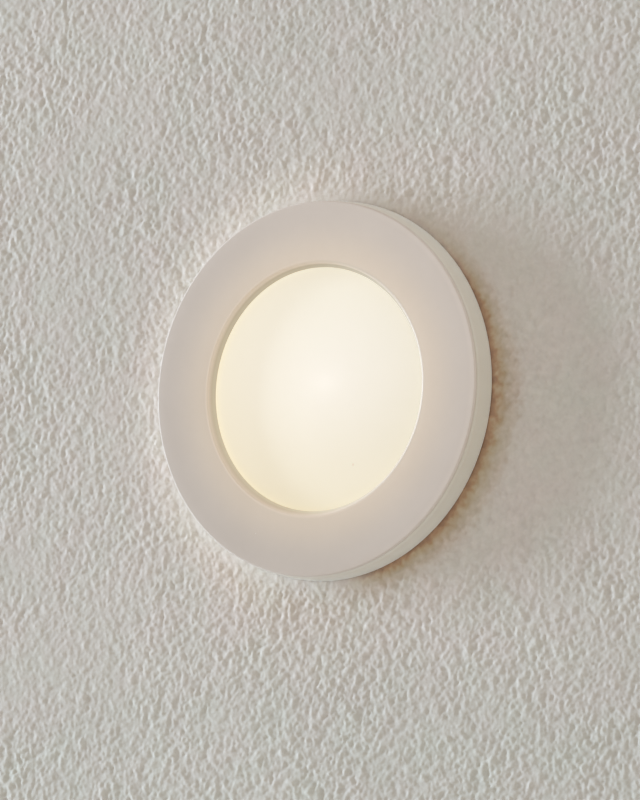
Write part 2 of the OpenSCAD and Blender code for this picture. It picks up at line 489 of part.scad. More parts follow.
// torsion spring: hooked end, leg along the plate, coil round the pin, leg behind the arm
coil_r = 1.6; coil_z = 2.7; coil_steps = 14;
turn_deg = 125 + 360 * spring_turns;
coil_n = floor(turn_deg / 360 * coil_steps);
leg_u = 10;
spring_path = concat(
    [[flat_x + 0.15 - pivot_x, -4, -coil_z], [plate_x - 0.1 - pivot_x, -4, -coil_z], [plate_x + 0.38 - pivot_x, -3.7, -coil_z], [-coil_r + 0.06, -3.1, -coil_z]],
    [for (i = [0:coil_n]) let (t = i / coil_n, a = 180 - turn_deg * t) [coil_r * cos(a), coil_r * sin(a), -coil_z + 2 * coil_z * t]],
    [for (u = [4, leg_u]) let (v = u < 5 ? 1.25 : arm_t / 2 + spring_wire / 2 + 0.02)
        [u * cos(arm_tilt) + v * sin(arm_tilt), -u * sin(arm_tilt) + v * cos(arm_tilt), coil_z]]);
function unit(v) = v / norm(v);
function tangent(p, i) = unit(p[min(i + 1, len(p) - 1)] - p[max(i - 1, 0)]);
// a tube of n sides along the points of p, with each ring square to the path
module tube(p, r, n = 8) {
    m = len(p);
    pts = [for (i = [0:m - 1]) let (t = tangent(p, i), s = unit(cross(t, abs(t[2]) > 0.9 ? [1, 0, 0] : [0, 0, 1])), w = cross(s, t))
        for (k = [0:n - 1]) p[i] + r * cos(360 * k / n) * s + r * sin(360 * k / n) * w];
    faces = concat([[for (k = [0:n - 1]) k]], [[for (k = [n - 1:-1:0]) (m - 1) * n + k]],
        [for (i = [0:m - 2], k = [0:n - 1]) [i * n + k, (i + 1) * n + k, (i + 1) * n + (k + 1) % n]],
        [for (i = [0:m - 2], k = [0:n - 1]) [i * n + k, (i + 1) * n + (k + 1) % n, i * n + (k + 1) % n]]);
    polyhedron(pts, faces, convexity = 10);
}
module clip_spring() color([0.62, 0.62, 0.64]) translate([pivot_x, pivot_y, 0]) tube(spring_path, spring_wire / 2);

module clip_bracket_right() clip_bracket();
module clip_bracket_left() mirror([1, 0, 0]) clip_bracket();
module clip_pin_right() clip_pin();
module clip_pin_left() mirror([1, 0, 0]) clip_pin();
module clip_arm_right() clip_arm();
module clip_arm_left() mirror([1, 0, 0]) clip_arm();
module clip_pad_right() clip_pad();
module clip_pad_left() mirror([1, 0, 0]) clip_pad();
module clip_spring_right() clip_spring();
module clip_spring_left() mirror([1, 0, 0]) clip_spring();

trim_ring();
trim_magnets();
strike_plates();
diffuser_ring();
ring_screws();
diffuser();
diffuser_seal();
housing();
wall_gasket();
reflector();
led_board();
leds();
led_board_screws();
thermal_pad();
led_leads();
lead_grommet();
driver_cup();
driver_board();
driver_board_screws();
terminal_block();
terminal_contacts();
terminal_button_left();
terminal_button_right();
fuse_resistor();
varistor();
bridge_rectifier();
bulk_capacitor();
output_capacitor();
driver_ic();
choke_core();
choke_winding();
transformer_core();
transformer_winding();
rear_cover();
cover_gasket();
cover_screws();
gland_body();
gland_washer();
gland_locknut();
gland_seal();
gland_nut();
clip_bracket_left();
clip_bracket_right();
bracket_screws();
clip_pin_left();
clip_pin_right();
clip_arm_left();
clip_arm_right();
clip_pad_left();
clip_pad_right();
clip_spring_left();
clip_spring_right();
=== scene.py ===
import bpy
import bmesh
import math
import numpy as np
from mathutils import Matrix, Vector


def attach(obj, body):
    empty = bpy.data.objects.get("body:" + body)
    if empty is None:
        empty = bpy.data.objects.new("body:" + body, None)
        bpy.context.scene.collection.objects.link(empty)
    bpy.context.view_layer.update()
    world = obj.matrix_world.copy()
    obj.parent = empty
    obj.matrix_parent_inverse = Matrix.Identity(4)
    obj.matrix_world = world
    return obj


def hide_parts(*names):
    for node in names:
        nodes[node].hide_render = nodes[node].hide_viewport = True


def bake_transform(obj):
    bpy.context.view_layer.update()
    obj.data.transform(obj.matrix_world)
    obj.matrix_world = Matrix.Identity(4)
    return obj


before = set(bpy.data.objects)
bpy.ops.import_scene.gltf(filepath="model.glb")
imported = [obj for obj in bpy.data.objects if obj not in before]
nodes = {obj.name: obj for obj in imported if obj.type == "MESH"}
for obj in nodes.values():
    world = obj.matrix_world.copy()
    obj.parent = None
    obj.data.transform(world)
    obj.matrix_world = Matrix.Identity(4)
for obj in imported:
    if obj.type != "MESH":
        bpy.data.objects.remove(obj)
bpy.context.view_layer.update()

MM = 0.001
scene = bpy.context.scene
scene.view_settings.view_transform = "Standard"
scene.view_settings.look = "None"


# ---------------------------------------------------------------- camera
# the viewing direction and framing fitted to the rim, opening and rear edge of the light in the photograph
AZ, EL, DIST, UNIT, PX = math.radians(32.72), math.radians(-6.59), 32.0, 42.65 * MM, 189.23
FOCAL = PX * DIST
back = Vector((math.sin(AZ) * math.cos(EL), -math.cos(AZ) * math.cos(EL), math.sin(EL)))
right = Vector((math.cos(AZ), math.sin(AZ), 0))
up = back.cross(right)
tx, ty = (328.21 - 320) / FOCAL * DIST, (400 - 390.83) / FOCAL * DIST
cam = bpy.data.objects.new("camera", bpy.data.cameras.new("camera"))
scene.collection.objects.link(cam)
cam.data.sensor_fit, cam.data.sensor_width, cam.data.sensor_height = "VERTICAL", 36, 36
cam.data.lens = FOCAL * 36 / 800
cam.location = Vector((0, -0.3 * MM, 0)) + UNIT * (DIST * back - tx * right - ty * up)
cam.rotation_mode = "QUATERNION"
cam.rotation_quaternion = Matrix((right, up, back)).transposed().to_quaternion()
cam.data.clip_start, cam.data.clip_end = 0.05, 20
scene.camera = cam


# ---------------------------------------------------------------- mesh helpers (all sizes in mm)
def obj_from(name, verts, faces, smooth=35, scale=MM):
    me = bpy.data.meshes.new(name)
    me.from_pydata([tuple(c * scale for c in v) for v in verts], [], faces)
    me.update()
    bm = bmesh.new()
    bm.from_mesh(me)
    bmesh.ops.remove_doubles(bm, verts=bm.verts, dist=1e-7)
    bmesh.ops.recalc_face_normals(bm, faces=bm.faces)
    bm.to_mesh(me)
    bm.free()
    o = bpy.data.objects.new(name, me)
    scene.collection.objects.link(o)
    shade(o, smooth)
    return o


def shade(o, angle=35):
    me = o.data
    me.polygons.foreach_set("use_smooth", [True] * len(me.polygons))
    me.set_sharp_from_angle(angle=math.radians(angle))
    me.update()


def arc(cx, cy, r, a0, a1, n=8):
    return [(cx + r * math.cos(math.radians(a0 + (a1 - a0) * i / n)), cy + r * math.sin(math.radians(a0 + (a1 - a0) * i / n))) for i in range(n + 1)]


def turned(name, prof, n=192, smooth=35, at=(0, 0)):
    """A closed profile of (radius, depth) turned about a line along Y."""
    verts, faces, rings = [], [], []
    for r, y in prof:
        if r < 1e-6:
            rings.append([len(verts)] * n)
            verts.append((at[0], y, at[1]))
        else:
            rings.append(list(range(len(verts), len(verts) + n)))
            verts += [(at[0] + r * math.cos(2 * math.pi * k / n), y, at[1] + r * math.sin(2 * math.pi * k / n)) for k in range(n)]
    m = len(rings)
    for i in range(m):
        a, b = rings[i], rings[(i + 1) % m]
        if a[0] == a[1] and b[0] == b[1]:
            continue
        for k in range(n):
            q = [a[k], a[(k + 1) % n], b[(k + 1) % n], b[k]]
            f = []
            for v in q:
                if v not in f:
                    f.append(v)
            if len(f) > 2:
                faces.append(f)
    return obj_from(name, verts, faces, smooth)


def prism(name, outline, y0, y1, smooth=30):
    """A closed (x, z) outline between two depths."""
    n = len(outline)
    verts = [(x, y0, z) for x, z in outline] + [(x, y1, z) for x, z in outline]
    faces = [list(range(n)), list(range(2 * n - 1, n - 1, -1))] + [[k, k + n, (k + 1) % n + n, (k + 1) % n] for k in range(n)]
    return obj_from(name, verts, faces, smooth)


def apply_all(o):
    """Replaces the mesh by what its modifiers make of it."""
    bpy.context.view_layer.update()
    dg = bpy.context.evaluated_depsgraph_get()
    me = bpy.data.meshes.new_from_object(o.evaluated_get(dg), depsgraph=dg)
    old = o.data
    o.modifiers.clear()
    o.data = me
    bpy.data.meshes.remove(old)
    return o


def cleaned(o):
    """Removes the faces of no area that a cut or a bevel leaves."""
    bm = bmesh.new()
    bm.from_mesh(o.data)
    bmesh.ops.dissolve_degenerate(bm, dist=5e-7, edges=bm.edges)
    bm.to_mesh(o.data)
    bm.free()
    return o


def boolean(o, others, op="DIFFERENCE"):
    for b in others:
        m = o.modifiers.new("cut", "BOOLEAN")
        m.operation, m.object, m.solver = op, b, "EXACT"
    apply_all(o)
    for b in others:
        bpy.data.objects.remove(b)
    return cleaned(o)


def bevelled(o, width, angle=40, segments=3):
    m = o.modifiers.new("edges", "BEVEL")
    m.width, m.segments, m.limit_method, m.angle_limit = width * MM, segments, "ANGLE", math.radians(angle)
    m.use_clamp_overlap = True
    return cleaned(apply_all(o))


def joined(name, objs):
    bm = bmesh.new()
    for o in objs:
        o.data.transform(o.matrix_world)
        bm.from_mesh(o.data)
        bpy.data.objects.remove(o)
    me = bpy.data.meshes.new(name)
    bm.to_mesh(me)
    bm.free()
    j = bpy.data.objects.new(name, me)
    scene.collection.objects.link(j)
    return j


def rounded(pts, radii, n=5):
    """A closed 2D outline with each corner rounded; radii is one number or one per corner."""
    out, m = [], len(pts)
    for i in range(m):
        r = radii[i] if isinstance(radii, (list, tuple)) else radii
        p, a, b = Vector(pts[i]), Vector(pts[i - 1]), Vector(pts[(i + 1) % m])
        d1, d2 = (a - p), (b - p)
        l1, l2 = d1.length, d2.length
        if r <= 0 or l1 < 1e-9 or l2 < 1e-9:
            out.append(tuple(p))
            continue
        d1, d2 = d1 / l1, d2 / l2
        ang = d1.angle(d2)
        if ang > math.pi - 0.02:
            out.append(tuple(p))
            continue
        t = min(r / math.tan(ang / 2), l1 * 0.49, l2 * 0.49)
        rr = t * math.tan(ang / 2)
        c = p + (d1 + d2).normalized() * (rr / math.sin(ang / 2))
        s0, s1 = p + d1 * t - c, p + d2 * t - c
        a0, a1 = math.atan2(s0.y, s0.x), math.atan2(s1.y, s1.x)
        da = (a1 - a0 + math.pi) % (2 * math.pi) - math.pi
        out += [(c.x + rr * math.cos(a0 + da * k / n), c.y + rr * math.sin(a0 + da * k / n)) for k in range(n + 1)]
    return out


def plate(name, loops, smooth=30):
    """Stacked loops of equal length, each a depth and an outline of (x, z) points, closed by a flat cap at each end."""
    n = len(loops[0][1])
    verts = [(x, y, z) for y, pts in loops for x, z in pts]
    faces = [list(range(n)), list(range(len(verts) - 1, len(verts) - 1 - n, -1))]
    for i in range(len(loops) - 1):
        faces += [[i * n + k, i * n + (k + 1) % n, (i + 1) * n + (k + 1) % n, (i + 1) * n + k] for k in range(n)]
    return obj_from(name, verts, faces, smooth)


def edged(y0, y1, r0, r1, outline, n=4):
    """Loops of an outline(inset) between two depths, with rounded edges of radius r0 and r1."""
    loops = []
    if r0 > 0:
        loops += [(y0 + r0 * (1 - math.sin(a)), outline(r0 * (1 - math.cos(a)))) for a in [math.pi / 2 * (1 - k / n) for k in range(n + 1)]]
    else:
        loops.append((y0, outline(0)))
    if r1 > 0:
        loops += [(y1 - r1 * (1 - math.sin(a)), outline(r1 * (1 - math.cos(a)))) for a in [math.pi / 2 * k / n for k in range(n + 1)]]
    else:
        loops.append((y1, outline(0)))
    return loops


def box(name, lo, hi, r=0.0, segments=3, taper=None):
    """A block with rounded edges, in mm; taper moves its corners."""
    v = [[x, y, z] for x in (lo[0], hi[0]) for y in (lo[1], hi[1]) for z in (lo[2], hi[2])]
    if taper:
        v = [taper(*c) for c in v]
    f = [[0, 1, 3, 2], [4, 6, 7, 5], [0, 4, 5, 1], [2, 3, 7, 6], [0, 2, 6, 4], [1, 5, 7, 3]]
    o = obj_from(name, v, f, 30)
    if r > 0:
        bevelled(o, r, 30, segments)
    return o


def cylinder(name, at, r, y0, y1, n=48, fillet=0.0):
    if fillet:
        prof = rounded([(0, y0), (r, y0), (r, y1), (0, y1)], [0, fillet, fillet, 0], 4)
    else:
        prof = [(0, y0), (r, y0), (r, y1), (0, y1)]
    return turned(name, prof, n, 30, at)


def move(o, m):
    o.data.transform(m)
    o.data.update()
    return o


def turn_y(deg):
    """The rotation that takes +X to the direction (cos, 0, -sin), as the part's own pattern does."""
    return Matrix.Rotation(math.radians(deg), 4, "Y")


def weighted(o, angle=32):
    """Smooth shading that keeps flat faces flat beside their rounded edges."""
    shade(o, angle)
    m = o.modifiers.new("normals", "WEIGHTED_NORMAL")
    m.keep_sharp, m.weight = True, 50
    return o


# ---------------------------------------------------------------- materials
def link(nt, a, b):
    nt.links.new(a, b)


def node(nt, kind, **kw):
    n = nt.nodes.new(kind)
    for k, v in kw.items():
        if hasattr(n, k) and k not in n.inputs.keys():
            setattr(n, k, v)
        else:
            n.inputs[k].default_value = v
    return n


def noise(nt, coord, size, detail=3.0, rough=0.55, distortion=0.0):
    n = nt.nodes.new("ShaderNodeTexNoise")
    n.inputs["Scale"].default_value = 1000.0 / size
    n.inputs["Detail"].default_value = detail
    n.inputs["Roughness"].default_value = rough
    n.inputs["Distortion"].default_value = distortion
    link(nt, coord, n.inputs["Vector"])
    return n.outputs["Fac"]


def remap(nt, value, lo, hi, a, b, smooth=False):
    n = nt.nodes.new("ShaderNodeMapRange")
    if smooth:
        n.interpolation_type = "SMOOTHSTEP"
    link(nt, value, n.inputs["Value"])
    for k, v in zip(("From Min", "From Max", "To Min", "To Max"), (lo, hi, a, b)):
        n.inputs[k].default_value = v
    return n.outputs["Result"]


def maths(nt, op, a, b=None):
    n = nt.nodes.new("ShaderNodeMath")
    n.operation = op
    for i, v in enumerate((a, b)):
        if v is None:
            continue
        if isinstance(v, (int, float)):
            n.inputs[i].default_value = v
        else:
            link(nt, v, n.inputs[i])
    return n.outputs[0]


def mix(nt, fac, a, b, mode="MIX"):
    n = nt.nodes.new("ShaderNodeMix")
    n.data_type, n.blend_type = "RGBA", mode
    for sock, v in ((n.inputs[0], fac), (n.inputs[6], a), (n.inputs[7], b)):
        if isinstance(v, (int, float)):
            sock.default_value = v
        elif isinstance(v, (tuple, list)):
            sock.default_value = (*v[:3], 1)
        else:
            link(nt, v, sock)
    return n.outputs[2]


def radial(nt, coord):
    """Distance from the light's axis, in metres."""
    sep = nt.nodes.new("ShaderNodeSeparateXYZ")
    link(nt, coord, sep.inputs[0])
    x2 = maths(nt, "MULTIPLY", sep.outputs[0], sep.outputs[0])
    z2 = maths(nt, "MULTIPLY", sep.outputs[2], sep.outputs[2])
    return maths(nt, "SQRT", maths(nt, "ADD", x2, z2)), sep


def tint(c, k):
    return tuple(max(0.0, min(1.0, x * k)) for x in c[:3])


def finish(name, colour, rough=0.5, metal=0.0, vary=0.06, vary_size=9.0, rough_vary=0.08, grain=0.5, grain_depth=0.008,
           edge=None, edge_size=0.25, edge_amount=0.7, stretch=None, specular=0.5, coat=0.0, coat_rough=0.2, fleck=None, extra=None, subsurface=0.0):
    """Cloudy colour variation, fine relief, uneven gloss and worn edges, all in the piece's own coordinates."""
    m = bpy.data.materials.new(name)
    m.use_nodes = True
    nt = m.node_tree
    nt.nodes.clear()
    out = nt.nodes.new("ShaderNodeOutputMaterial")
    b = nt.nodes.new("ShaderNodeBsdfPrincipled")
    link(nt, b.outputs[0], out.inputs[0])
    tc = nt.nodes.new("ShaderNodeTexCoord")
    coord = tc.outputs["Object"]
    if stretch:
        mp = nt.nodes.new("ShaderNodeMapping")
        mp.inputs["Scale"].default_value = stretch
        link(nt, coord, mp.inputs["Vector"])
        coord = mp.outputs[0]
    big = noise(nt, coord, vary_size, 3)
    small = noise(nt, coord, vary_size / 7, 4)
    both = maths(nt, "ADD", maths(nt, "MULTIPLY", big, 0.65), maths(nt, "MULTIPLY", small, 0.35))
    col = mix(nt, remap(nt, both, 0.3, 0.7, 0, 1), tint(colour, 1 - vary), tint(colour, 1 + vary))
    fine = noise(nt, coord, grain, 3, 0.6)
    rgh = remap(nt, both, 0.3, 0.7, rough - rough_vary, rough + rough_vary)
    if fleck:
        # fine flecks: a second tone where a small noise is high
        ft, fs, fa = fleck
        f = noise(nt, coord, fs, 2, 0.5)
        col = mix(nt, remap(nt, f, 0.58, 0.66, 0, fa), col, ft)
    if edge:
        bev = nt.nodes.new("ShaderNodeBevel")
        bev.samples = 4
        bev.inputs["Radius"].default_value = edge_size * MM
        geo = nt.nodes.new("ShaderNodeNewGeometry")
        dot = nt.nodes.new("ShaderNodeVectorMath")
        dot.operation = "DOT_PRODUCT"
        link(nt, bev.outputs[0], dot.inputs[0])
        link(nt, geo.outputs["Normal"], dot.inputs[1])
        worn = remap(nt, dot.outputs["Value"], 0.995, 0.86, 0, 1)
        patch = remap(nt, noise(nt, coord, 1.6, 4, 0.6), 0.42, 0.62, 0.15, 1)
        wear = maths(nt, "MULTIPLY", maths(nt, "MULTIPLY", worn, patch), edge_amount)
        col = mix(nt, wear, col, edge)
        rgh = maths(nt, "SUBTRACT", rgh, maths(nt, "MULTIPLY", wear, 0.1))
    if extra:
        col = extra(nt, tc.outputs["Object"], col)
    link(nt, col, b.inputs["Base Color"])
    link(nt, rgh, b.inputs["Roughness"])
    b.inputs["Metallic"].default_value = metal
    b.inputs["Specular IOR Level"].default_value = specular
    if coat:
        b.inputs["Coat Weight"].default_value = coat
        b.inputs["Coat Roughness"].default_value = coat_rough
    if subsurface:
        b.inputs["Subsurface Weight"].default_value = subsurface
        b.inputs["Subsurface Radius"].default_value = (0.002, 0.0015, 0.001)
        b.inputs["Subsurface Scale"].default_value = 0.5
    bump = nt.nodes.new("ShaderNodeBump")
    bump.inputs["Strength"].default_value = 1.0
    bump.inputs["Distance"].default_value = grain_depth * MM
    link(nt, fine, bump.inputs["Height"])
    link(nt, bump.outputs[0], b.inputs["Normal"])
    m["parts"] = 1
    return m


def principled(m):
    return next(n for n in m.node_tree.nodes if n.type == "BSDF_PRINCIPLED")


STEEL_EDGE = (0.86, 0.85, 0.83)
MAT = {
    "cast_aluminium": finish("cast_aluminium", (0.50, 0.50, 0.495), 0.44, 0.85, 0.09, 7, 0.1, 0.55, 0.016, (0.86, 0.86, 0.85), 0.3, 0.7, fleck=((0.42, 0.42, 0.415), 0.9, 0.35)),
    "white_plastic": finish("white_plastic", (0.70, 0.70, 0.685), 0.42, 0, 0.03, 12, 0.06, 0.35, 0.006, (0.78, 0.78, 0.77), 0.25, 0.25),
    "grey_plastic": finish("grey_plastic", (0.105, 0.112, 0.12), 0.48, 0, 0.1, 8, 0.08, 0.4, 0.009, (0.26, 0.27, 0.28), 0.25, 0.7),
    "orange_plastic": finish("orange_plastic", (0.80, 0.23, 0.035), 0.4, 0, 0.06, 5, 0.06, 0.35, 0.005, (0.9, 0.42, 0.16), 0.2, 0.6),
    "black_plastic": finish("black_plastic", (0.035, 0.036, 0.04), 0.4, 0, 0.15, 6, 0.08, 0.35, 0.006, (0.14, 0.14, 0.15), 0.2, 0.6),
    "black_rubber": finish("black_rubber", (0.026, 0.026, 0.028), 0.72, 0, 0.22, 5, 0.1, 0.3, 0.012, (0.09, 0.09, 0.092), 0.2, 0.5, specular=0.35),
    "clear_silicone": finish("clear_silicone", (0.72, 0.72, 0.70), 0.32, 0, 0.05, 5, 0.08, 0.5, 0.005, specular=0.4, subsurface=0.3),
    "grey_silicone": finish("grey_silicone", (0.30, 0.34, 0.42), 0.7, 0, 0.1, 6, 0.08, 0.4, 0.01),
    "red_insulation": finish("red_insulation", (0.55, 0.035, 0.03), 0.38, 0, 0.1, 4, 0.08, 0.3, 0.003),
    "magnet": finish("magnet", (0.66, 0.65, 0.62), 0.24, 1, 0.06, 4, 0.08, 0.3, 0.002, STEEL_EDGE, 0.2, 0.6),
    "zinc_steel": finish("zinc_steel", (0.62, 0.62, 0.61), 0.3, 1, 0.1, 4, 0.1, 0.25, 0.003, STEEL_EDGE, 0.2, 0.8, fleck=((0.74, 0.72, 0.64), 1.3, 0.25)),
    "steel": finish("steel", (0.56, 0.56, 0.56), 0.3, 1, 0.08, 4, 0.1, 0.3, 0.003, STEEL_EDGE, 0.2, 0.7),
    "spring_steel": finish("spring_steel", (0.52, 0.51, 0.49), 0.27, 1, 0.12, 3, 0.1, 0.3, 0.003, STEEL_EDGE, 0.15, 0.6, stretch=(1, 1, 3)),
    "board_white": finish("board_white", (0.80, 0.80, 0.77), 0.34, 0, 0.025, 10, 0.06, 0.5, 0.002, coat=0.3),
    "board_green": finish("board_green", (0.03, 0.20, 0.075), 0.3, 0, 0.12, 6, 0.06, 0.6, 0.003, coat=0.4),
    "led_yellow": finish("led_yellow", (0.86, 0.66, 0.12), 0.25, 0, 0.06, 2, 0.05, 0.3, 0.002, coat=0.4),
    "contact_brass": finish("contact_brass", (0.72, 0.55, 0.28), 0.3, 1, 0.08, 3, 0.08, 0.3, 0.003, (0.9, 0.78, 0.5), 0.15, 0.6),
    "copper": finish("copper", (0.70, 0.29, 0.12), 0.28, 1, 0.12, 2, 0.08, 0.35, 0.01),
    "ferrite": finish("ferrite", (0.045, 0.046, 0.05), 0.55, 0, 0.2, 4, 0.1, 0.3, 0.012, (0.14, 0.14, 0.15), 0.2, 0.6),
    "tape_yellow": finish("tape_yellow", (0.78, 0.52, 0.05), 0.3, 0, 0.08, 4, 0.08, 0.5, 0.004),
    "blue_epoxy": finish("blue_epoxy", (0.03, 0.10, 0.36), 0.34, 0, 0.12, 3, 0.08, 0.5, 0.012, coat=0.3),
    "green_epoxy": finish("green_epoxy", (0.16, 0.34, 0.15), 0.38, 0, 0.1, 3, 0.08, 0.5, 0.01, coat=0.2),
    "capacitor_sleeve": finish("capacitor_sleeve", (0.03, 0.035, 0.06), 0.3, 0, 0.15, 4, 0.08, 0.5, 0.004, coat=0.3),
}


# the paint of the trim: fine powder coat and a few dust specks, with painted light and shade laid over it; a painted
# warm glow beside the lit opening is added after
def trim_extra(nt, coord, col):
    v = nt.nodes.new("ShaderNodeTexVoronoi")
    v.inputs["Scale"].default_value = 1000 / 9
    link(nt, coord, v.inputs["Vector"])
    speck = remap(nt, v.outputs["Distance"], 0.012, 0.018, 0.85, 0)
    col = mix(nt, speck, col, (0.95, 0.94, 0.9))
    sep = nt.nodes.new("ShaderNodeSeparateXYZ")
    link(nt, coord, sep.inputs[0])
    # painted light and shade: the paint is lighter towards the upper right and darker towards the lower left
    painted_light_slope = maths(nt, "ADD", maths(nt, "MULTIPLY", sep.outputs[2], 0.77), sep.outputs[0])
    col = mix(nt, 1.0, col, mix(nt, remap(nt, painted_light_slope, -0.054, 0.054, 0, 1), (0.931, 0.908, 0.913), (1.093, 1.064, 1.077)), "MULTIPLY")
    # painted light: the side wall is painted lighter than the face, and lighter and greyer still towards its rear edge
    side_painted_light = mix(nt, remap(nt, sep.outputs[1], -0.0045, -0.0004, 0, 1), (1.125, 1.19, 1.175), (1.18, 1.31, 1.35))
    col = mix(nt, remap(nt, sep.outputs[1], -0.0059, -0.0052, 0, 1), col, mix(nt, 1.0, col, side_painted_light, "MULTIPLY"))
    rad, sep = radial(nt, coord)
    # painted highlight: the face is a shade lighter just inside its outer edge, on the right
    rim = maths(nt, "MULTIPLY", remap(nt, rad, 0.0405, 0.0419, 0, 1, True), remap(nt, maths(nt, "DIVIDE", sep.outputs[0], rad), 0.2, 0.9, 0, 1))
    col = mix(nt, maths(nt, "MULTIPLY", rim, remap(nt, sep.outputs[1], -0.0058, -0.0055, 1, 0)), col, mix(nt, 1.0, col, (1.06, 1.065, 1.07), "MULTIPLY"))
    # painted shade: the bevel round the opening is painted darker, most at the upper right, and painted light makes its
    # rounding into the face lighter at the left
    across, up = maths(nt, "DIVIDE", sep.outputs[0], rad), maths(nt, "DIVIDE", sep.outputs[2], rad)
    depth = maths(nt, "MULTIPLY", remap(nt, sep.outputs[1], -0.00595, -0.00545, 0, 1, True), remap(nt, rad, 0.0291, 0.0294, 1, 0))
    dark = maths(nt, "ADD", maths(nt, "ADD", maths(nt, "MULTIPLY", across, -0.05), maths(nt, "MULTIPLY", up, -0.11)), 0.76)
    shade_col = mix(nt, dark, (0, 0, 0), (1.0, 0.985, 0.945))
    col = mix(nt, depth, col, mix(nt, 1.0, col, shade_col, "MULTIPLY"))
    # painted light and shade on the rounding into the face: lighter at the left, darker at the right
    edge = maths(nt, "MULTIPLY", remap(nt, rad, 0.0283, 0.02865, 0, 1, True), remap(nt, rad, 0.0289, 0.0295, 1, 0, True))
    rounding_painted_light = mix(nt, remap(nt, maths(nt, "ADD", across, maths(nt, "MULTIPLY", up, 0.2)), -1, 0.7, 0, 1), (1.23, 1.23, 1.23), (0.94, 0.94, 0.94))
    col = mix(nt, edge, col, mix(nt, 1.0, col, rounding_painted_light, "MULTIPLY"))
    # painted shade: the opening's edge is painted darker at the right
    right_painted_shade = maths(nt, "MULTIPLY", remap(nt, maths(nt, "ADD", across, maths(nt, "MULTIPLY", up, 0.18)), 0, 0.8, 0, 1), remap(nt, rad, 0.02875, 0.0291, 1, 0, True))
    return mix(nt, right_painted_shade, col, mix(nt, 1.0, col, (0.78, 0.78, 0.76), "MULTIPLY"))


MAT["trim_paint"] = finish("trim_paint", (0.768, 0.72, 0.655), 0.52, 0, 0.018, 16, 0.06, 0.42, 0.007, (0.90, 0.87, 0.83), 0.35, 0.5, extra=trim_extra)
nt = MAT["trim_paint"].node_tree
coord = next(n for n in nt.nodes if n.type == "TEX_COORD").outputs["Object"]
# painted glow: a faint warm emission on the face, strongest at the opening and fading out towards the outer edge,
# stands in for the lamp's light on the paint
rad, sep = radial(nt, coord)
painted_glow = maths(nt, "POWER", remap(nt, rad, 0.0278, 0.041, 1, 0, True), 1.2)
painted_glow_col = mix(nt, painted_glow, (0, 0, 0), (0.115, 0.080, 0.031))
pb = principled(MAT["trim_paint"])
link(nt, painted_glow_col, pb.inputs["Emission Color"])
pb.inputs["Emission Strength"].default_value = 1.0

# the opal disc, lit from behind: brightest in the middle, warmer towards its edge
opal = finish("opal", (0.60, 0.58, 0.54), 0.35, 0, 0.01, 12, 0.05, 0.5, 0.002)
nt = opal.node_tree
coord = next(n for n in nt.nodes if n.type == "TEX_COORD").outputs["Object"]
rad, sep = radial(nt, coord)
ramp = nt.nodes.new("ShaderNodeValToRGB")
cr = ramp.color_ramp
cr.interpolation = "B_SPLINE"
stops = [(0.0, (0.580, 0.550, 0.496)), (0.10, (0.542, 0.510, 0.445)), (0.20, (0.527, 0.496, 0.428)), (0.36, (0.514, 0.483, 0.402)), (0.52, (0.508, 0.474, 0.385)),
         (0.70, (0.498, 0.463, 0.360)), (0.86, (0.507, 0.469, 0.363)), (0.95, (0.502, 0.466, 0.355)), (1.0, (0.517, 0.484, 0.374))]
cr.elements[0].position, cr.elements[0].color = stops[0][0], (*stops[0][1], 1)
cr.elements[1].position, cr.elements[1].color = stops[-1][0], (*stops[-1][1], 1)
for p, c in stops[1:-1]:
    el = cr.elements.new(p)
    el.color = (*c, 1)
# the bright middle is a little wider than high and lies just above the centre
place = coord
for op, values in (("SUBTRACT", (0.0012, 0.0, 0.0015)), ("MULTIPLY", (0.76, 0.0, 1.03)), ("LENGTH", None)):
    step = nt.nodes.new("ShaderNodeVectorMath")
    step.operation = op
    link(nt, place, step.inputs[0])
    if values:
        step.inputs[1].default_value = values
        place = step.outputs[0]
link(nt, remap(nt, step.outputs["Value"], 0, 0.0286, 0, 1), ramp.inputs[0])
pb = principled(opal)
# a little more light reaches its upper left, and one speck of dust lies near its lower edge
lit = ramp.outputs[0]
for axis, slope in ((0, (-2.07, -2.0, -1.64)), (2, (1.0, 1.4, 2.1))):
    term = nt.nodes.new("ShaderNodeVectorMath")
    term.operation = "SCALE"
    term.inputs[0].default_value = slope
    link(nt, sep.outputs[axis], term.inputs["Scale"])
    both = nt.nodes.new("ShaderNodeVectorMath")
    link(nt, lit, both.inputs[0])
    link(nt, term.outputs[0], both.inputs[1])
    lit = both.outputs[0]
spot = nt.nodes.new("ShaderNodeVectorMath")
spot.operation = "DISTANCE"
link(nt, coord, spot.inputs[0])
spot.inputs[1].default_value = (0.0087, -0.0036, -0.0175)
lit = mix(nt, remap(nt, spot.outputs["Value"], 0.00018, 0.00042, 0.55, 0), lit, (0.24, 0.20, 0.14))
link(nt, lit, pb.inputs["Emission Color"])
pb.inputs["Emission Strength"].default_value = 1.0
MAT["opal"] = opal

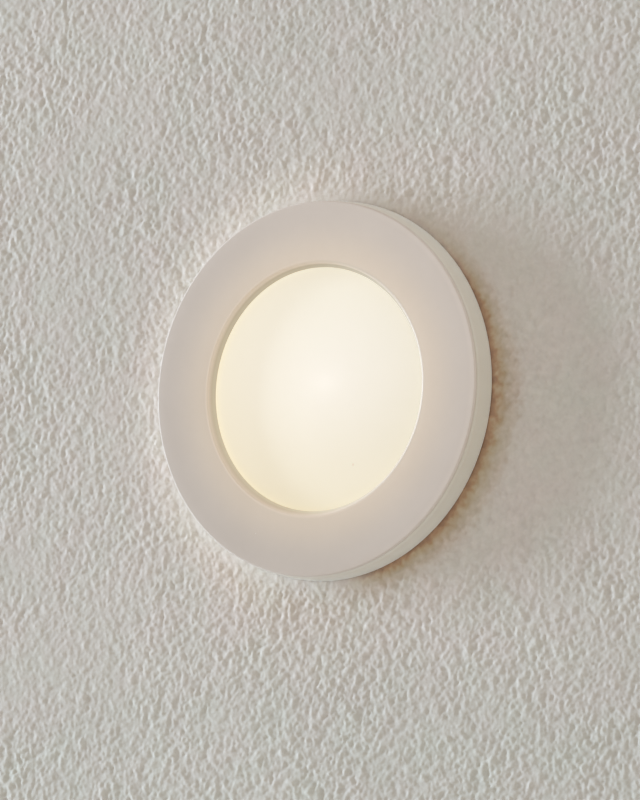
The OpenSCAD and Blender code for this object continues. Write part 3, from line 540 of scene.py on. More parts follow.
SLOTS = {
    "trim_paint": "trim_ring", "opal": "diffuser", "cast_aluminium": "housing",
    "white_plastic": "diffuser_ring driver_cup rear_cover reflector terminal_block", "grey_plastic": "gland_body gland_nut gland_locknut",
    "orange_plastic": "terminal_button_left terminal_button_right", "black_plastic": "driver_ic bridge_rectifier",
    "black_rubber": "wall_gasket cover_gasket gland_washer gland_seal lead_grommet clip_pad_left clip_pad_right", "clear_silicone": "diffuser_seal",
    "grey_silicone": "thermal_pad", "red_insulation": "led_leads", "magnet": "trim_magnets",
    "zinc_steel": "strike_plates clip_bracket_left clip_bracket_right clip_arm_left clip_arm_right",
    "steel": "ring_screws led_board_screws driver_board_screws cover_screws bracket_screws clip_pin_left clip_pin_right",
    "spring_steel": "clip_spring_left clip_spring_right", "board_white": "led_board", "board_green": "driver_board", "led_yellow": "leds",
    "contact_brass": "terminal_contacts", "copper": "choke_winding", "ferrite": "choke_core transformer_core", "tape_yellow": "transformer_winding",
    "blue_epoxy": "varistor", "green_epoxy": "fuse_resistor", "capacitor_sleeve": "bulk_capacitor output_capacitor",
}
NODE_SLOT = {n: s for s, ns in SLOTS.items() for n in ns.split()}


def paint(o, m):
    o.data.materials.clear()
    o.data.materials.append(m)


for n, o in nodes.items():
    paint(o, MAT[NODE_SLOT[n]])


def stands_for(o, slot, body, *cad):
    paint(o, MAT[slot])
    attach(o, body)
    if cad:
        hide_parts(*cad)
    return o


# ---------------------------------------------------------------- trim ring and disc
r0, r1, r2 = 27.55, 42.1, 43.0
# the opening's lip: relieved behind its nose, bevelled in front of it, and rounded into the face
ring = turned("trim_ring_body", [(r0 + 0.75, -3.9), (r0 + 0.12, -4.56)] + arc(27.66, -4.66, 0.105, 135, 214.5, 4) + [(27.85, -5.131), (28.2, -5.64)]
              + arc(29.071, -5.5, 0.8, 214.5, 270, 9) + [(31.5, -6.3), (40, -6.3)] + arc(42.05, -5.9, 0.4, 270, 360, 10)
              + [(42.445, -5.8), (42.42, -5.72), (42.39, -5.62), (42.37, -5.5), (42.375, -5.38), (42.40, -5.27), (42.445, -5.17), (42.51, -5.05), (42.58, -4.9), (42.66, -4.6)]
              + [(42.96, -0.7), (r2, -0.28)] + arc(42.88, -0.22, 0.12, 0, 90, 3) + [(41.3, -0.1), (41.1, -4.7), (29.5, -4.7), (29.3, -3.9)], 320, 30)
bosses = []
for k in range(4):
    a = math.pi / 2 * k
    bosses.append(turned("boss", [(2.5, -4.62), (0, -4.62), (0, -5.2), (3.4, -5.2), (3.4, -3.5), (3.3, -3.4), (2.6, -3.4), (2.5, -3.5)], 48, 30, (34.9 * math.cos(a), 34.9 * math.sin(a))))
for b in bosses:
    boolean(ring, [b], "UNION")
shade(ring, 30)
stands_for(ring, "trim_paint", "trim", "trim_ring")

disc = turned("opal_disc", [(0, -3.6), (26, -3.6), (30.6, -3.6)] + arc(30.7, -3.3, 0.3, 270, 360, 4) + arc(30.8, -1.8, 0.2, 0, 90, 3) + [(26, -1.6), (0, -1.6)], 256, 30)
stands_for(disc, "opal", "base", "diffuser")


# ---------------------------------------------------------------- housing: body, fins, ears, flats and holes
def u_outline(inset, r=3.1, u0=26.0, uc=31.4, n=20):
    r = r - inset
    return [(u0, -r)] + [(uc + r * math.sin(math.pi * k / n), -r * math.cos(math.pi * k / n)) for k in range(n + 1)] + [(u0, r)]


def ears(y0, y1, r0, r1, n=20):
    out = []
    for k in range(4):
        e = plate("ear", edged(y0, y1, r0, r1, u_outline))
        out.append(move(e, turn_y(45 + 90 * k)))
    return out


body = turned("housing_body", rounded(
    [(31.3, -3), (40.1, -3), (40.4, -2.7), (40.4, -1), (36.4, -1), (36.4, 0), (35.3, 0), (35.3, 3), (34.7, 3.6), (31.5, 3.6), (30, 5.1), (30, 30),
     (28.2, 30), (28.2, 13.1), (0, 13.1), (0, 11.1), (28.2, 11.1), (28.2, -0.9), (31.3, -0.9)],
    [0.25, 0.3, 0.4, 0.2, 0.0, 0.1, 0.0, 0.4, 0.5, 0.9, 1.6, 0.3, 0.3, 0.5, 0, 0, 0.2, 0.25, 0.1], 5), 256, 30)
adds = ears(19, 30, 1.2, 0.25)
for s_ in (0, 180):
    for i in range(9):
        f = box("fin", (29.2, 6.5, -0.6), (32.1, 28.5, 0.6), 0.28, 3, lambda x, y, z: (x, y + (0.9 if y < 10 else -0.5) * (x > 30), z * (0.84 if x > 30 else 1.05)))
        adds.append(move(f, turn_y(s_) @ turn_y(58 + 8 * i)))
for sx in (1, -1):
    p_ = box("pad", (26.3, 21, -6.6), (29.5, 28, 6.6), 0.3)
    adds.append(move(p_, Matrix.Scale(sx, 4, (1, 0, 0))))
for o_ in adds:
    if o_.data.polygons:
        bm = bmesh.new()
        bm.from_mesh(o_.data)
        bmesh.ops.recalc_face_normals(bm, faces=bm.faces)
        bm.to_mesh(o_.data)
        bm.free()
boolean(body, [joined("adds", adds)], "UNION")
cuts = [box("flat", (29.2 if sx > 0 else -38, 10.5, -7.2), (38 if sx > 0 else -29.2, 29.7, 7.2), 0.4) for sx in (1, -1)]
for k in range(4):
    c45, c90 = math.radians(45 + 90 * k), math.radians(90 * k)
    cuts.append(cylinder("hole", (31.4 * math.cos(c45), 31.4 * math.sin(c45)), 1.53, 22, 31))
    cuts.append(cylinder("hole", (34.9 * math.cos(c45), 34.9 * math.sin(c45)), 1.28, -4, -1.2))
    cuts.append(cylinder("hole", (34.9 * math.cos(c90), 34.9 * math.sin(c90)), 3.02, -4, -2.3))
for sx in (1, -1):
    for z in (-4.2, 4.2):
        h = cylinder("hole", (0, 0), 1.28, 0, 3.5, 32)
        cuts.append(move(h, Matrix.Translation((sx * 25.7 * MM, 25 * MM, z * MM)) @ Matrix.Rotation(math.radians(-90 * sx), 4, "Z")))
cuts.append(cylinder("hole", (21.5, 0), 2.6, 10, 14))
boolean(body, [joined("cuts", cuts)])
weighted(body)
stands_for(body, "cast_aluminium", "base", "housing")


# ---------------------------------------------------------------- rear cover
def cover_radius(deg, inset):
    best = 30.0 - inset
    r = 3.1 - inset
    for a in (45, 135, 225, 315):
        p = math.radians((deg - a + 180) % 360 - 180)
        if abs(p) > 0.25:
            continue
        if 31.4 * abs(math.sin(p)) <= r:
            v = 31.4 * math.cos(p) + math.sqrt(max(0, r * r - (31.4 * math.sin(p)) ** 2))
        else:
            v = r / abs(math.sin(p))
        h = max(0.7 - abs(v - best), 0) / 0.7
        best = max(v, best) + h * h * 0.7 / 4
    return best


def cover_outline(inset):
    angles = []
    for a in (45, 135, 225, 315):
        angles += [a - 9 + 18 * k / 60 for k in range(61)]
        angles += [a + 9 + 72 * k / 60 for k in range(1, 60)]
    return [(cover_radius(a, inset) * math.cos(math.radians(a)), cover_radius(a, inset) * math.sin(math.radians(a))) for a in angles]


cover = plate("rear_cover_body", edged(30.6, 33.0, 0.15, 0.6, cover_outline, 5))
seat = turned("seat", rounded([(0, 32), (11.6, 32.0), (11.6, 32.95), (11, 33.8), (0, 33.8)], [0, 0, 0.2, 0.3, 0], 4), 128, 30)
boolean(cover, [seat], "UNION")
cuts = [cylinder("hole", (0, 0), 6.1, 29, 36, 96)]
for k in range(4):
    c45 = math.radians(45 + 90 * k)
    cuts.append(cylinder("hole", (31.4 * math.cos(c45), 31.4 * math.sin(c45)), 1.7, 29, 35))
# sunken fields between the ribs
for k in range(8):
    a0, a1 = 22.5 + 45 * k - 22.5 + 2.2, 22.5 + 45 * k + 22.5 - 2.2
    inner = [(14.2 * math.cos(math.radians(a0 + 1.6 + (a1 - a0 - 3.2) * t / 16)), 14.2 * math.sin(math.radians(a0 + 1.6 + (a1 - a0 - 3.2) * t / 16))) for t in range(17)]
    outer = [(26.2 * math.cos(math.radians(a1 - (a1 - a0) * t / 24)), 26.2 * math.sin(math.radians(a1 - (a1 - a0) * t / 24))) for t in range(25)]
    field = rounded(inner + outer, [1.2 if t in (0, 16, 17, 41) else 0 for t in range(42)], 5)
    cuts.append(prism("field", field, 32.5, 34))
boolean(cover, [joined("cuts", cuts)])
weighted(cover)
stands_for(cover, "white_plastic", "base", "rear_cover")


# ---------------------------------------------------------------- screws
def screw(name, d, l, head_r, head_h, slot, seat_y, at, towards=1, sunk=False, turn=0.0):
    """A cross-head screw along Y. towards=1: its head is on the +Y side of seat_y."""
    t = 1 if towards > 0 else -1
    pitch = 0.2 * d
    if sunk:
        prof = [(0, 0), (head_r - 0.06, 0), (head_r, 0.06), (d / 2, head_h)]
        body_y, body_end = head_h, l
    else:
        k = head_h
        prof = [(0, -k)] + [(head_r * math.sin(a), -k + (k * 0.62) * (1 - math.cos(a))) for a in [math.radians(q) for q in (12, 24, 36, 48, 60, 72, 82, 90)]] + [(head_r, -0.06), (head_r - 0.06, 0), (d / 2, 0)]
        body_y, body_end = 0.0, l
    y, side = body_y + 0.25, [(d / 2 * 0.84, body_y + 0.2)]
    while y + pitch < body_end - 0.3:
        side += [(d / 2 * 0.84, y), (d / 2, y + pitch * 0.45), (d / 2 * 0.84, y + pitch * 0.9)]
        y += pitch
    prof = prof + side + [(d / 2 * 0.84, body_end - 0.25), (d / 2 * 0.6, body_end), (0, body_end)]
    o = turned(name, [(r, -t * yy) for r, yy in prof], 40, 34)
    depth = head_h * 0.62
    cuts = []
    for a in (0, 90):
        top = -head_h - 0.3 if not sunk else -0.3
        low = -head_h + depth if not sunk else depth
        w0, w1, hl = slot / 2, slot * 0.34, head_r * 0.56
        c = box("slot", (-hl, min(top, low), -w0), (hl, max(top, low), w0), 0, 1,
                lambda x, yy, z: (x * (0.55 if yy > (top + low) / 2 else 1.0), yy, z * (w1 / w0 if yy > (top + low) / 2 else 1.0)))
        c = move(c, Matrix.Rotation(math.radians(a), 4, "Y"))
        if t > 0:
            c = move(c, Matrix.Scale(-1, 4, (0, 1, 0)))
            c.data.flip_normals()
        cuts.append(c)
    for c in cuts:
        boolean(o, [c])
    move(o, Matrix.Translation((at[0] * MM, seat_y * MM, at[1] * MM)) @ Matrix.Rotation(math.radians(turn), 4, "Y"))
    return o


def ring_at(n, r, a0):
    return [(r * math.cos(math.radians(a0 + 360 * k / n)), -r * math.sin(math.radians(a0 + 360 * k / n))) for k in range(n)]


sets = []
for name, n, r, a0, args in (
    ("cover_screws", 4, 31.4, 45, (3, 10.5, 2.7, 1.9, 0.7, 33.0, 1, False)),
    ("ring_screws", 4, 34.9, 45, (2.5, 3.1, 2.3, 1.1, 0.5, -4.35, -1, True)),
    ("driver_board_screws", 3, 22, 60, (1.9, 3.8, 1.8, 1.2, 0.4, 18.1, 1, False)),
    ("led_board_screws", 3, 24, 90, (2.5, 4, 2.2, 1.4, 0.5, 9.0, -1, False)),
):
    group = [screw(name, *args[:6], at=q, towards=args[6], sunk=args[7], turn=17 + 31 * i) for i, q in enumerate(ring_at(n, r, a0))]
    o = joined(name + "_detailed", group)
    weighted(o, 34)
    stands_for(o, "steel", "base", name)
group = []
for sx in (1, -1):
    for i, z in enumerate((-4.2, 4.2)):
        o = screw("bracket_screw", 2.5, 3.4, 2, 1.2, 0.5, 0, (0, 0), 1, False, 25 + 40 * i)
        group.append(move(o, Matrix.Translation((sx * 30.1 * MM, 25 * MM, z * MM)) @ Matrix.Rotation(math.radians(-90 * sx), 4, "Z")))
o = joined("bracket_screws_detailed", group)
weighted(o, 34)
stands_for(o, "steel", "base", "bracket_screws")


# ---------------------------------------------------------------- cable gland
def hexagon(af):
    r = af / 2 / math.cos(math.radians(30))
    return [(r * math.cos(math.radians(60 * k)), r * math.sin(math.radians(60 * k))) for k in range(6)]


def hex_block(name, af, y0, y1, corner):
    h = prism(name, hexagon(af), y0, y1)
    c = 0.62 * (corner - af / 2 + 0.12)
    t = turned("trim", [(0, y0 - 0.01), (af / 2 - 0.12, y0 - 0.01), (corner, y0 + c), (corner, y1 - c), (af / 2 - 0.12, y1 + 0.01), (0, y1 + 0.01)], 96, 20)
    boolean(h, [t], "INTERSECT")
    return bevelled(h, 0.12, 24, 2)


gbody = hex_block("gland_body_detailed", 15, 34.6, 38.6, 8.2)
thread = [(3.6, 38.0), (5.05, 38.0)]
for k in range(7):
    y = 38.7 + 0.66 * k
    thread += [(4.98, y), (5.3, y + 0.2), (5.3, y + 0.3), (4.98, y + 0.5)]
thread += [(4.8, 43.4), (4.4, 43.4), (4.4, 38.8), (3.6, 38.8)]
boolean(gbody, [turned("thread", thread, 96, 20), turned("shank", [(3.6, 27.4), (5.8, 27.4), (5.95, 27.6), (5.95, 34.8), (3.6, 34.8)], 96, 30)], "UNION")
boolean(gbody, [cylinder("bore", (0, 0), 3.6, 26, 44, 96)])
weighted(gbody, 28)
stands_for(gbody, "grey_plastic", "base", "gland_body")

gnut = hex_block("gland_nut_detailed", 14, 39.0, 44.2, 7.66)
dome = turned("dome", [(0, 43.6), (6.6, 43.6), (6.92, 44.0), (6.92, 44.35)] + arc(3.9, 44.5, 3.02, 2, 78, 14) + [(4.1, 47.55), (3.85, 47.6), (3.4, 47.35), (0, 47.35)], 128, 30)
boolean(gnut, [dome], "UNION")
boolean(gnut, [turned("bore", [(0, 38), (5.5, 38), (5.5, 38.8), (5.35, 39.1), (5.35, 44), (4.45, 44.1), (4.45, 44.8), (3.4, 45.2), (3.4, 47.2), (3.62, 47.7), (0, 47.7)], 128, 30)])
weighted(gnut, 28)
stands_for(gnut, "grey_plastic", "base", "gland_nut")
gseal = turned("gland_seal_detailed", rounded([(3.1, 38.85), (4.35, 38.85), (4.35, 44.0), (4.0, 44.7), (3.1, 44.7)], [0.25, 0.1, 0.2, 0.2, 0.35], 5), 96, 40)
stands_for(gseal, "black_rubber", "base", "gland_seal")


# ---------------------------------------------------------------- spring clips, drawn on the +X side and mirrored
PX_, PY_ = 32.2, 18.0


def along_z(name, outline, z0, z1, bevel=0.0, segments=2):
    """A closed (x, y) outline between two heights along Z."""
    o = prism(name, outline, z0, z1)
    me = o.data
    for v in me.vertices:
        v.co = (v.co.x, v.co.z, v.co.y)
    bm = bmesh.new()
    bm.from_mesh(me)
    bmesh.ops.recalc_face_normals(bm, faces=bm.faces)
    bm.to_mesh(me)
    bm.free()
    if bevel:
        bevelled(o, bevel, 50, segments)
    return o


def along_x(name, outline, x0, x1, bevel=0.0, segments=2):
    """A closed (y, z) outline between two places along X."""
    o = along_z(name, outline, x0, x1, bevel, segments)
    for v in o.data.vertices:
        v.co = (v.co.z, v.co.x, v.co.y)
    return o


def circle(c, r, n=40):
    return [(c[0] + r * math.cos(2 * math.pi * k / n), c[1] + r * math.sin(2 * math.pi * k / n)) for k in range(n)]


def bracket():
    plate_ = along_x("plate", rounded([(12.4, -6.55), (27.0, -6.55), (28.6, -5.0), (28.6, 5.0), (27.0, 6.55), (12.4, 6.55)], [0.8, 0.8, 0.8, 0.8, 0.8, 0.8], 5), 29.2, 30.1, 0.14)
    parts = []
    for z in (5.75, -6.55):
        ear = rounded([(29.6, 14.6), (31.0, 14.6), (32.6, 16.0)], [0, 0.5, 0.6], 4) + [(PX_ + 1.9 * math.cos(math.radians(a)), PY_ + 1.9 * math.sin(math.radians(a))) for a in range(-60, 61, 8)] + rounded([(32.6, 20.0), (31.0, 21.4), (29.6, 21.4)], [0.6, 0.5, 0], 4)
        parts.append(along_z("ear", ear, z, z + 0.8, 0.12))
    boolean(plate_, [joined("ears", parts)], "UNION")
    holes = [along_z("h", circle((PX_, PY_), 1.0), -10, 10)]
    for z in (-4.2, 4.2):
        holes.append(along_x("h", circle((25, z), 1.35), 28, 32))
    holes.append(along_x("h", circle((14, -2.7), 0.5, 24), 28, 32))
    boolean(plate_, [joined("holes", holes)])
    return plate_


AT_ARM = Matrix.Translation((PX_ * MM, PY_ * MM, 0)) @ Matrix.Rotation(math.radians(-35), 4, "Z")


def clip_arm():
    strip = rounded([(3.0, -5.4), (17.6, -5.4), (19.3, -3.7), (19.3, 3.7), (17.6, 5.4), (3.0, 5.4)], [0.3, 0.6, 0.6, 0.6, 0.6, 0.3], 4)
    o = prism("arm", strip, -0.5, 0.5)
    bevelled(o, 0.16, 50, 3)
    lugs = []
    for z in (4.6, -5.4):
        lug = [(1.7 * math.cos(math.radians(a)), 1.7 * math.sin(math.radians(a))) for a in range(270, 89, -9)]
        lug = [(5.6, 0.45), (5.2, 0.5)] + rounded([(3.6, 1.05)], 0, 4) + [(1.2, 1.55), (0.4, 1.68)] + [(1.7 * math.cos(math.radians(a)), 1.7 * math.sin(math.radians(a))) for a in range(90, 271, 9)] + [(0.4, -1.68), (1.2, -1.55), (3.6, -1.05), (5.2, -0.5), (5.6, -0.45)]
        lugs.append(along_z("lug", lug, z, z + 0.8, 0.1))
    boolean(o, [joined("lugs", lugs)], "UNION")
    rib = box("rib", (5.6, -0.86, -1.0), (12.9, -0.2, 1.0), 0.3, 3)
    boolean(o, [rib], "UNION")
    boolean(o, [along_z("pin", circle((0, 0), 1.05), -8, 8)])
    return move(o, AT_ARM)


def clip_pad():
    side = []
    for k in range(4):
        u = 15.3 + 1.15 * k
        side += [(u - 0.26, 1.5), (u - 0.1, 1.22), (u + 0.1, 1.22), (u + 0.26, 1.5)]
    outline = [(14.2, -1.25), (14.2, 1.25), (14.45, 1.5)] + side + [(19.9, 1.5)] + [(20 + 1.5 * math.cos(math.radians(a)), 1.5 * math.sin(math.radians(a))) for a in range(80, -81, -10)] + [(19.9, -1.5)] + [(u, -v) for u, v in side[::-1]] + [(14.45, -1.5)]
    o = along_z("pad", outline, -6.0, 6.0)
    return move(bevelled(o, 0.35, 60, 3), AT_ARM)


def smooth_path(pts, rounds=2):
    for _ in range(rounds):
        q = [pts[0]]
        for a, b in zip(pts[:-1], pts[1:]):
            q += [a * 0.75 + b * 0.25, a * 0.25 + b * 0.75]
        pts = q + [pts[-1]]
    return pts


def wire(name, pts, r, n=14):
    """A round wire along a path, its frame carried along without twist, with rounded ends."""
    pts = [Vector(q) for q in pts]
    clean = [pts[0]]
    for q in pts[1:]:
        if (q - clean[-1]).length > 0.02:
            clean.append(q)
    pts, m = clean, len(clean)
    tan = [(pts[min(i + 1, m - 1)] - pts[max(i - 1, 0)]).normalized() for i in range(m)]
    s_ = tan[0].orthogonal().normalized()
    verts, faces = [], []
    rows = [(0, 0.35, -0.9), (0, 0.8, -0.55)] + [(i, 1.0, 0.0) for i in range(m)] + [(m - 1, 0.8, 0.55), (m - 1, 0.35, 0.9)]
    for j, (i, k, ahead) in enumerate(rows):
        t = tan[i]
        s_ = (s_ - t * s_.dot(t)).normalized()
        w_ = t.cross(s_)
        c = pts[i] + t * (ahead * r * 0.6)
        verts += [c + s_ * (r * k * math.cos(2 * math.pi * a / n)) + w_ * (r * k * math.sin(2 * math.pi * a / n)) for a in range(n)]
    for j in range(len(rows) - 1):
        faces += [[j * n + k, j * n + (k + 1) % n, (j + 1) * n + (k + 1) % n, (j + 1) * n + k] for k in range(n)]
    faces += [list(range(n)), list(range(len(rows) * n - 1, (len(rows) - 1) * n - 1, -1))]
    return obj_from(name, [tuple(v) for v in verts], faces, 60)


def clip_spring():
    r, z, turns = 1.6, 2.7, 125 + 360 * 5
    px = PX_
    pts = [(29.35 - px, -4, -z), (30.0 - px, -4, -z), (30.48 - px, -3.7, -z), (-r + 0.06, -3.1, -z), (-r, -1.2, -z)]
    steps = int(turns / 9)
    for i in range(steps + 1):
        t = i / steps
        a = math.radians(180 - turns * t)
        pts.append((r * math.cos(a), r * math.sin(a), -z + 2 * z * t))
    c, s2 = math.cos(math.radians(35)), math.sin(math.radians(35))
    for u in (2.4, 4.0, 5.5, 7.0, 8.5, 10.0):
        v = 1.45 if u < 3 else 1.25 if u < 5 else 0.85
        pts.append((u * c + v * s2, -u * s2 + v * c, z))
    pts = smooth_path([Vector(q) for q in pts], 1)
    return move(wire("spring", pts, 0.33), Matrix.Translation((PX_ * MM, PY_ * MM, 0)))


def mirrored(o, name):
    m = o.copy()
    m.data = o.data.copy()
    m.name = name
    scene.collection.objects.link(m)
    m.data.transform(Matrix.Scale(-1, 4, (1, 0, 0)))
    m.data.flip_normals()
    return m


for kind, make, slot_, on_clip in (("clip_bracket", bracket, "zinc_steel", False), ("clip_arm", clip_arm, "zinc_steel", True), ("clip_pad", clip_pad, "black_rubber", True)):
    o = make()
    o.name = kind + "_right_detailed"
    other = mirrored(o, kind + "_left_detailed")
    for piece, side_ in ((o, "right"), (other, "left")):
        weighted(piece, 34)
        stands_for(piece, slot_, "clip_" + side_ if on_clip else "base", f"{kind}_{side_}")
pin = along_z("pin", circle((PX_, PY_), 1.0, 48), -6.6, 6.6)
heads = []
for t in (1, -1):
    prof = [(0, 6.5), (1.5, 6.5), (1.5, 6.68), (1.36, 6.95), (1.05, 7.12), (0.6, 7.15), (0, 7.15)]
    h = turned("head", [(r_, y_ * t) for r_, y_ in prof], 40, 34)
    for v in h.data.vertices:
        v.co = (v.co.x, -v.co.z, v.co.y)
    bm = bmesh.new()
    bm.from_mesh(h.data)
    bmesh.ops.recalc_face_normals(bm, faces=bm.faces)
    bm.to_mesh(h.data)
    bm.free()
    heads.append(move(h, Matrix.Translation((PX_ * MM, PY_ * MM, 0))))
boolean(pin, [joined("heads", heads)], "UNION")
pin.name = "clip_pin_right_detailed"
other = mirrored(pin, "clip_pin_left_detailed")
for piece, side_ in ((pin, "right"), (other, "left")):
    weighted(piece, 34)
    stands_for(piece, "steel", "base", "clip_pin_" + side_)
spring = clip_spring()
spring.name = "clip_spring_right_detailed"
other = mirrored(spring, "clip_spring_left_detailed")
for piece, side_, sx in ((spring, "right", 1), (other, "left", -1)):
    paint(piece, MAT["spring_steel"])
    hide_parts("clip_spring_" + side_)
    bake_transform(piece)


# ---------------------------------------------------------------- wall, floor and light
def stage_material(name, colour, extra=None, relief=None):
    m = bpy.data.materials.new(name)
    m.use_nodes = True
    nt = m.node_tree
    b = principled(m)
    tc = nt.nodes.new("ShaderNodeTexCoord")
    coord = tc.outputs["Object"]
    cloud = noise(nt, coord, 60, 3)
    col = mix(nt, remap(nt, cloud, 0.3, 0.7, 0, 1), tint(colour, 0.975), tint(colour, 1.025))
    if extra:
        col = extra(nt, coord, col)
    link(nt, col, b.inputs["Base Color"])
    b.inputs["Roughness"].default_value = 0.85
    b.inputs["Specular IOR Level"].default_value = 0.2
    if relief:
        relief(nt, coord, b)
    return m


def fine_grain(nt, coord, b):
    # the sand in the plaster, too fine to model
    bump = nt.nodes.new("ShaderNodeBump")
    bump.inputs["Strength"].default_value = 1.0
    bump.inputs["Distance"].default_value = 0.03 * MM
    link(nt, noise(nt, coord, 0.5, 1.0, 0.5), bump.inputs["Height"])
    link(nt, bump.outputs[0], b.inputs["Normal"])


def painted_shade_and_tone(nt, coord, col):
    # painted shade: a darker, browner band on the wall along the light's right and lower edge, where the ring's contact
    # shade falls
    rad, sep = radial(nt, coord)
    relief = nt.nodes.new("ShaderNodeAttribute")
    relief.attribute_name = "relief"
    relief = relief.outputs["Fac"]
    patchy = maths(nt, "ADD", remap(nt, noise(nt, coord, 1.7, 3, 0.6), 0.3, 0.7, -0.0006, 0.0006), maths(nt, "MULTIPLY", relief, 0.00028))
    near = nt.nodes.new("ShaderNodeValToRGB")
    cr = near.color_ramp
    stops = [(43.0, (0.60, 0.40, 0.29)), (43.9, (0.70, 0.48, 0.33)), (44.9, (0.77, 0.635, 0.465)), (46.0, (0.81, 0.72, 0.59)),
             (47.4, (0.86, 0.80, 0.72)), (48.6, (0.92, 0.86, 0.80)), (50.2, (0.97, 0.95, 0.93)), (52.0, (1.0, 1.0, 1.0))]
    cr.elements[0].position, cr.elements[0].color = 0.0, (*stops[0][1], 1)
    cr.elements[1].position, cr.elements[1].color = 1.0, (*stops[-1][1], 1)
    for r_, c in stops[1:-1]:
        cr.elements.new((r_ - 43.0) / 9.0).color = (*c, 1)
    height = maths(nt, "DIVIDE", sep.outputs[2], rad)
    wide = maths(nt, "ADD", remap(nt, height, -0.05, 0.6, 1.0, 1.6, True), remap(nt, height, -0.95, -0.6, 0.55, 0, True))
    out = maths(nt, "MULTIPLY", maths(nt, "SUBTRACT", rad, 0.043), wide)
    link(nt, remap(nt, maths(nt, "ADD", out, patchy), 0, 0.009, 0, 1), near.inputs[0])
    across = remap(nt, maths(nt, "DIVIDE", sep.outputs[0], rad), 0.0, 0.38, 0, 1, True)
    upward = remap(nt, height, 0.4, 0.96, 1, 0.1, True)
    side = maths(nt, "MULTIPLY", across, upward)
    col = mix(nt, side, col, mix(nt, 1.0, col, near.outputs[0], "MULTIPLY"))
    # painted light: a lighter band along the other side, where light thrown back off the ring's side falls on the wall
    painted_halo = remap(nt, maths(nt, "ADD", rad, patchy), 0.0475, 0.0565, 1, 0, True)
    away = remap(nt, maths(nt, "DIVIDE", maths(nt, "SUBTRACT", sep.outputs[0], maths(nt, "MULTIPLY", sep.outputs[2], 0.25)), rad), 0.12, -0.35, 0, 1, True)
    col = mix(nt, maths(nt, "MULTIPLY", painted_halo, away), col, mix(nt, 1.0, col, (1.095, 1.08, 1.07), "MULTIPLY"))
    # further out the paint is a shade greyer and greener, in slow drifts
    col = mix(nt, remap(nt, rad, 0.047, 0.072, 0, 1, True), col, mix(nt, 1.0, col, (0.956, 0.982, 0.990), "MULTIPLY"))
    col = mix(nt, remap(nt, sep.outputs[2], -0.055, -0.082, 0, 1, True), col, mix(nt, 1.0, col, (0.972, 0.998, 0.996), "MULTIPLY"))
    drift = remap(nt, noise(nt, coord, 11, 2, 0.5), 0.32, 0.68, 0, 1)
    col = mix(nt, 1.0, col, mix(nt, drift, (1.013, 0.992, 1.0), (0.987, 1.008, 0.998)), "MULTIPLY")
    # painted shade in the relief's hollows and painted light on its crests, mixed with random dust
    hollow_shade_and_dust = remap(nt, maths(nt, "ADD", relief, remap(nt, noise(nt, coord, 1.1, 3, 0.6), 0.3, 0.7, -1.0, 1.0)), -3.0, 3.0, 0, 1)
    return mix(nt, 1.0, col, mix(nt, hollow_shade_and_dust, (0.940, 0.938, 0.935), (1.060, 1.062, 1.065)), "MULTIPLY")


def plaster_sheet(x0, x1, z0, z1):
    """The plastered face: rolled plaster as real relief where it is seen from near, in a fixed pseudo-random pattern."""
    step = 0.27
    xs, zs = np.arange(-128.0, x1, step), np.arange(z0, z1, step)
    nx, nz = len(xs), len(zs)
    k2 = (2 * math.pi) ** 2 * (np.fft.fftfreq(nx, step)[None, :] ** 2 + np.fft.fftfreq(nz, step)[:, None] ** 2)
    rng = np.random.default_rng(11)

    def smooth_noise(size):
        f = np.fft.ifft2(np.fft.fft2(rng.standard_normal((nz, nx))) * np.exp(-k2 * size * size / 4)).real
        return f / f.std()

    h = 0.34 * smooth_noise(0.34) + 0.47 * smooth_noise(0.66) + 0.10 * smooth_noise(3.5)
    h *= RELIEF * (1 + 0.16 * smooth_noise(9.0)) * (1.0 - 0.0011 * zs[:, None])
    # a coarse margin past the near part, and a turned-back edge all round
    gx = np.concatenate([[x0, x0], np.arange(x0 + 4, xs[0] - 1, 4.0), xs, [x1, x1]])
    gz = np.concatenate([[z0], zs, [z1, z1]])
    grid = np.zeros((len(gz), len(gx)))
    grid[1:1 + nz, len(gx) - 2 - nx:len(gx) - 2] = h
    grid[[0, -1], :] = -0.43
    grid[:, [0, -1]] = -0.43
    m, n = grid.shape
    co = np.empty((m, n, 3))
    # drawn up to the ring round its edge
    rr = np.sqrt(gx[None, :] ** 2 + gz[:, None] ** 2)
    near = np.clip((47.5 - rr) / 4.0, 0, 1)
    near = near * near * (3 - 2 * near)
    co[..., 0], co[..., 1], co[..., 2] = gx[None, :], 0.30 - 0.20 * near - grid * (1 - 0.6 * near), gz[:, None]
    idx = np.arange(m * n).reshape(m, n)
    quads = np.stack([idx[:-1, :-1], idx[:-1, 1:], idx[1:, 1:], idx[1:, :-1]], -1).reshape(-1, 4)
    cx, cz = (co[..., 0].ravel()[quads]).mean(1), (co[..., 2].ravel()[quads]).mean(1)
    quads = quads[cx * cx + cz * cz > 37.0 ** 2]
    used, inverse = np.unique(quads, return_inverse=True)
    quads, pts = inverse.reshape(-1, 4), co.reshape(-1, 3)[used] * MM
    me = bpy.data.meshes.new("wall_face")
    me.vertices.add(len(pts))
    me.vertices.foreach_set("co", pts.astype(np.float32).ravel())
    me.loops.add(quads.size)
    me.loops.foreach_set("vertex_index", quads.astype(np.int32).ravel())
    me.polygons.add(len(quads))
    me.polygons.foreach_set("loop_start", np.arange(0, quads.size, 4, dtype=np.int32))
    me.update(calc_edges=True)
    me.polygons.foreach_set("use_smooth", np.ones(len(quads), dtype=bool))
    me.validate()
    me.attributes.new("relief", "FLOAT", "POINT").data.foreach_set("value", (grid.ravel()[used] / h.std()).astype(np.float32))
    o = bpy.data.objects.new("wall_face", me)
    scene.collection.objects.link(o)
    return o


RELIEF = 0.125


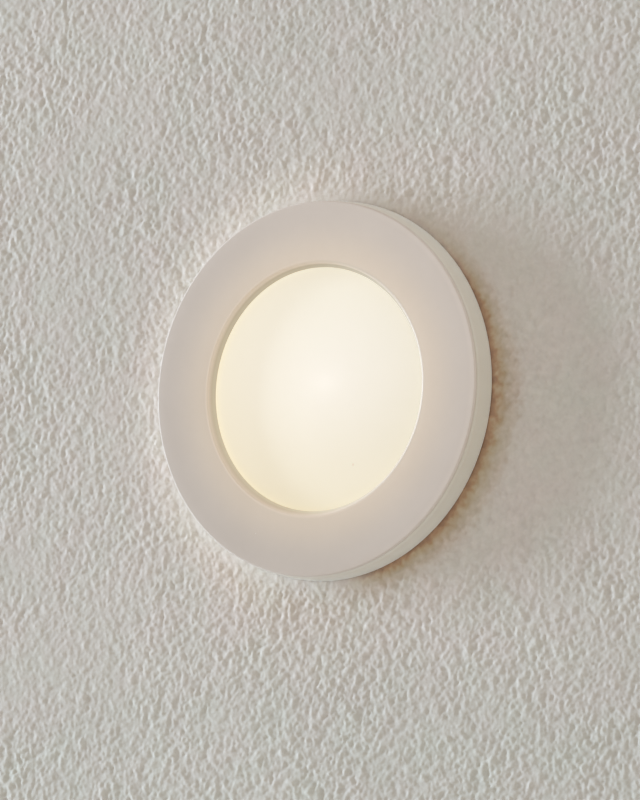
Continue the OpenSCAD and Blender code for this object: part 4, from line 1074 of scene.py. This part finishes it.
def wall_patch():
    n, rings = 256, (36.0, 43.5, 60.0)
    x0, x1, z0, z1 = -160.0, 108.0, -128.0, 128.0
    dirs = [(math.cos(2 * math.pi * k / n), math.sin(2 * math.pi * k / n)) for k in range(n)]
    loops = [[(r * c, r * s) for c, s in dirs] for r in rings]
    reach = [min((x1 / c if c > 1e-9 else x0 / c if c < -1e-9 else 1e9), (z1 / s if s > 1e-9 else z0 / s if s < -1e-9 else 1e9)) for c, s in dirs]
    loops.append([(t * c, t * s) for t, (c, s) in zip(reach, dirs)])
    front, rear = 0.72, 0.98
    verts = [(x, front, z) for loop in loops for x, z in loop] + [(x, rear, z) for loop in loops[::-1] for x, z in loop]
    m, faces = 2 * len(loops), []
    for i in range(m):
        j = (i + 1) % m
        faces += [[i * n + k, i * n + (k + 1) % n, j * n + (k + 1) % n, j * n + k] for k in range(n)]
    o = obj_from("wall", verts, faces, 30)
    o.data.materials.append(stage_material("wall_board", (0.60, 0.585, 0.565)))
    face = plaster_sheet(x0, x1, z0, z1)
    face.data.materials.append(stage_material("wall_plaster", (0.77, 0.74, 0.70), painted_shade_and_tone, fine_grain))
    return o, face


wall, wall_face = wall_patch()
floor = obj_from("floor", [(-1500, -1500, -400), (1500, -1500, -400), (1500, 1500, -400), (-1500, 1500, -400)], [[0, 1, 2, 3]])
paint(floor, stage_material("floor_pale", (0.72, 0.71, 0.70)))


def area(name, loc, target, size, power, colour):
    d = bpy.data.lights.new(name, "AREA")
    d.shape, d.size, d.size_y = "RECTANGLE", size[0], size[1]
    d.energy, d.color = power, colour
    o = bpy.data.objects.new(name, d)
    scene.collection.objects.link(o)
    o.location = loc
    o.rotation_mode = "QUATERNION"
    o.rotation_quaternion = (Vector(target) - Vector(loc)).to_track_quat("-Z", "Y")
    return o


world = bpy.data.worlds.new("studio")
scene.world = world
world.use_nodes = True
wt = world.node_tree
bg = wt.nodes["Background"]
bg.inputs[0].default_value = (0.79, 0.65, 0.49, 1)
bg.inputs[1].default_value = 0.61
# the room's light is warm, and the backdrop itself is a plain pale grey
backdrop = wt.nodes.new("ShaderNodeBackground")
backdrop.inputs[0].default_value = (0.66, 0.65, 0.63, 1)
path, either = wt.nodes.new("ShaderNodeLightPath"), wt.nodes.new("ShaderNodeMixShader")
wt.links.new(path.outputs["Is Camera Ray"], either.inputs[0])
wt.links.new(bg.outputs[0], either.inputs[1])
wt.links.new(backdrop.outputs[0], either.inputs[2])
wt.links.new(either.outputs[0], wt.nodes["World Output"].inputs[0])
area("key", (-2.17, -0.367, 0.25), (0, 0, 0), (0.26, 1.1), 52.5, (0.717, 0.852, 1.0))
area("overhead", (0.25, -0.9, 1.5), (0, 0, 0), (1.2, 0.8), 4.5, (0.50, 0.69, 1.0))
area("fill", (1.5, -0.5, 0.2), (0, 0, 0), (0.5, 1.0), 1.15, (0.55, 0.87, 1.0))
area("rear_key", (-0.7, 0.9, 0.7), (0, 0.02, 0), (0.45, 0.45), 5.6, (1.0, 0.99, 0.97))
area("rear_fill", (0.9, 0.7, 0.1), (0, 0.02, 0), (0.6, 0.6), 1.6, (0.95, 0.97, 1.0))
area("rear_room", (0.3, 2.0, 0.6), (0, 0, 0), (1.6, 1.2), 9, (0.44, 0.67, 1.0))
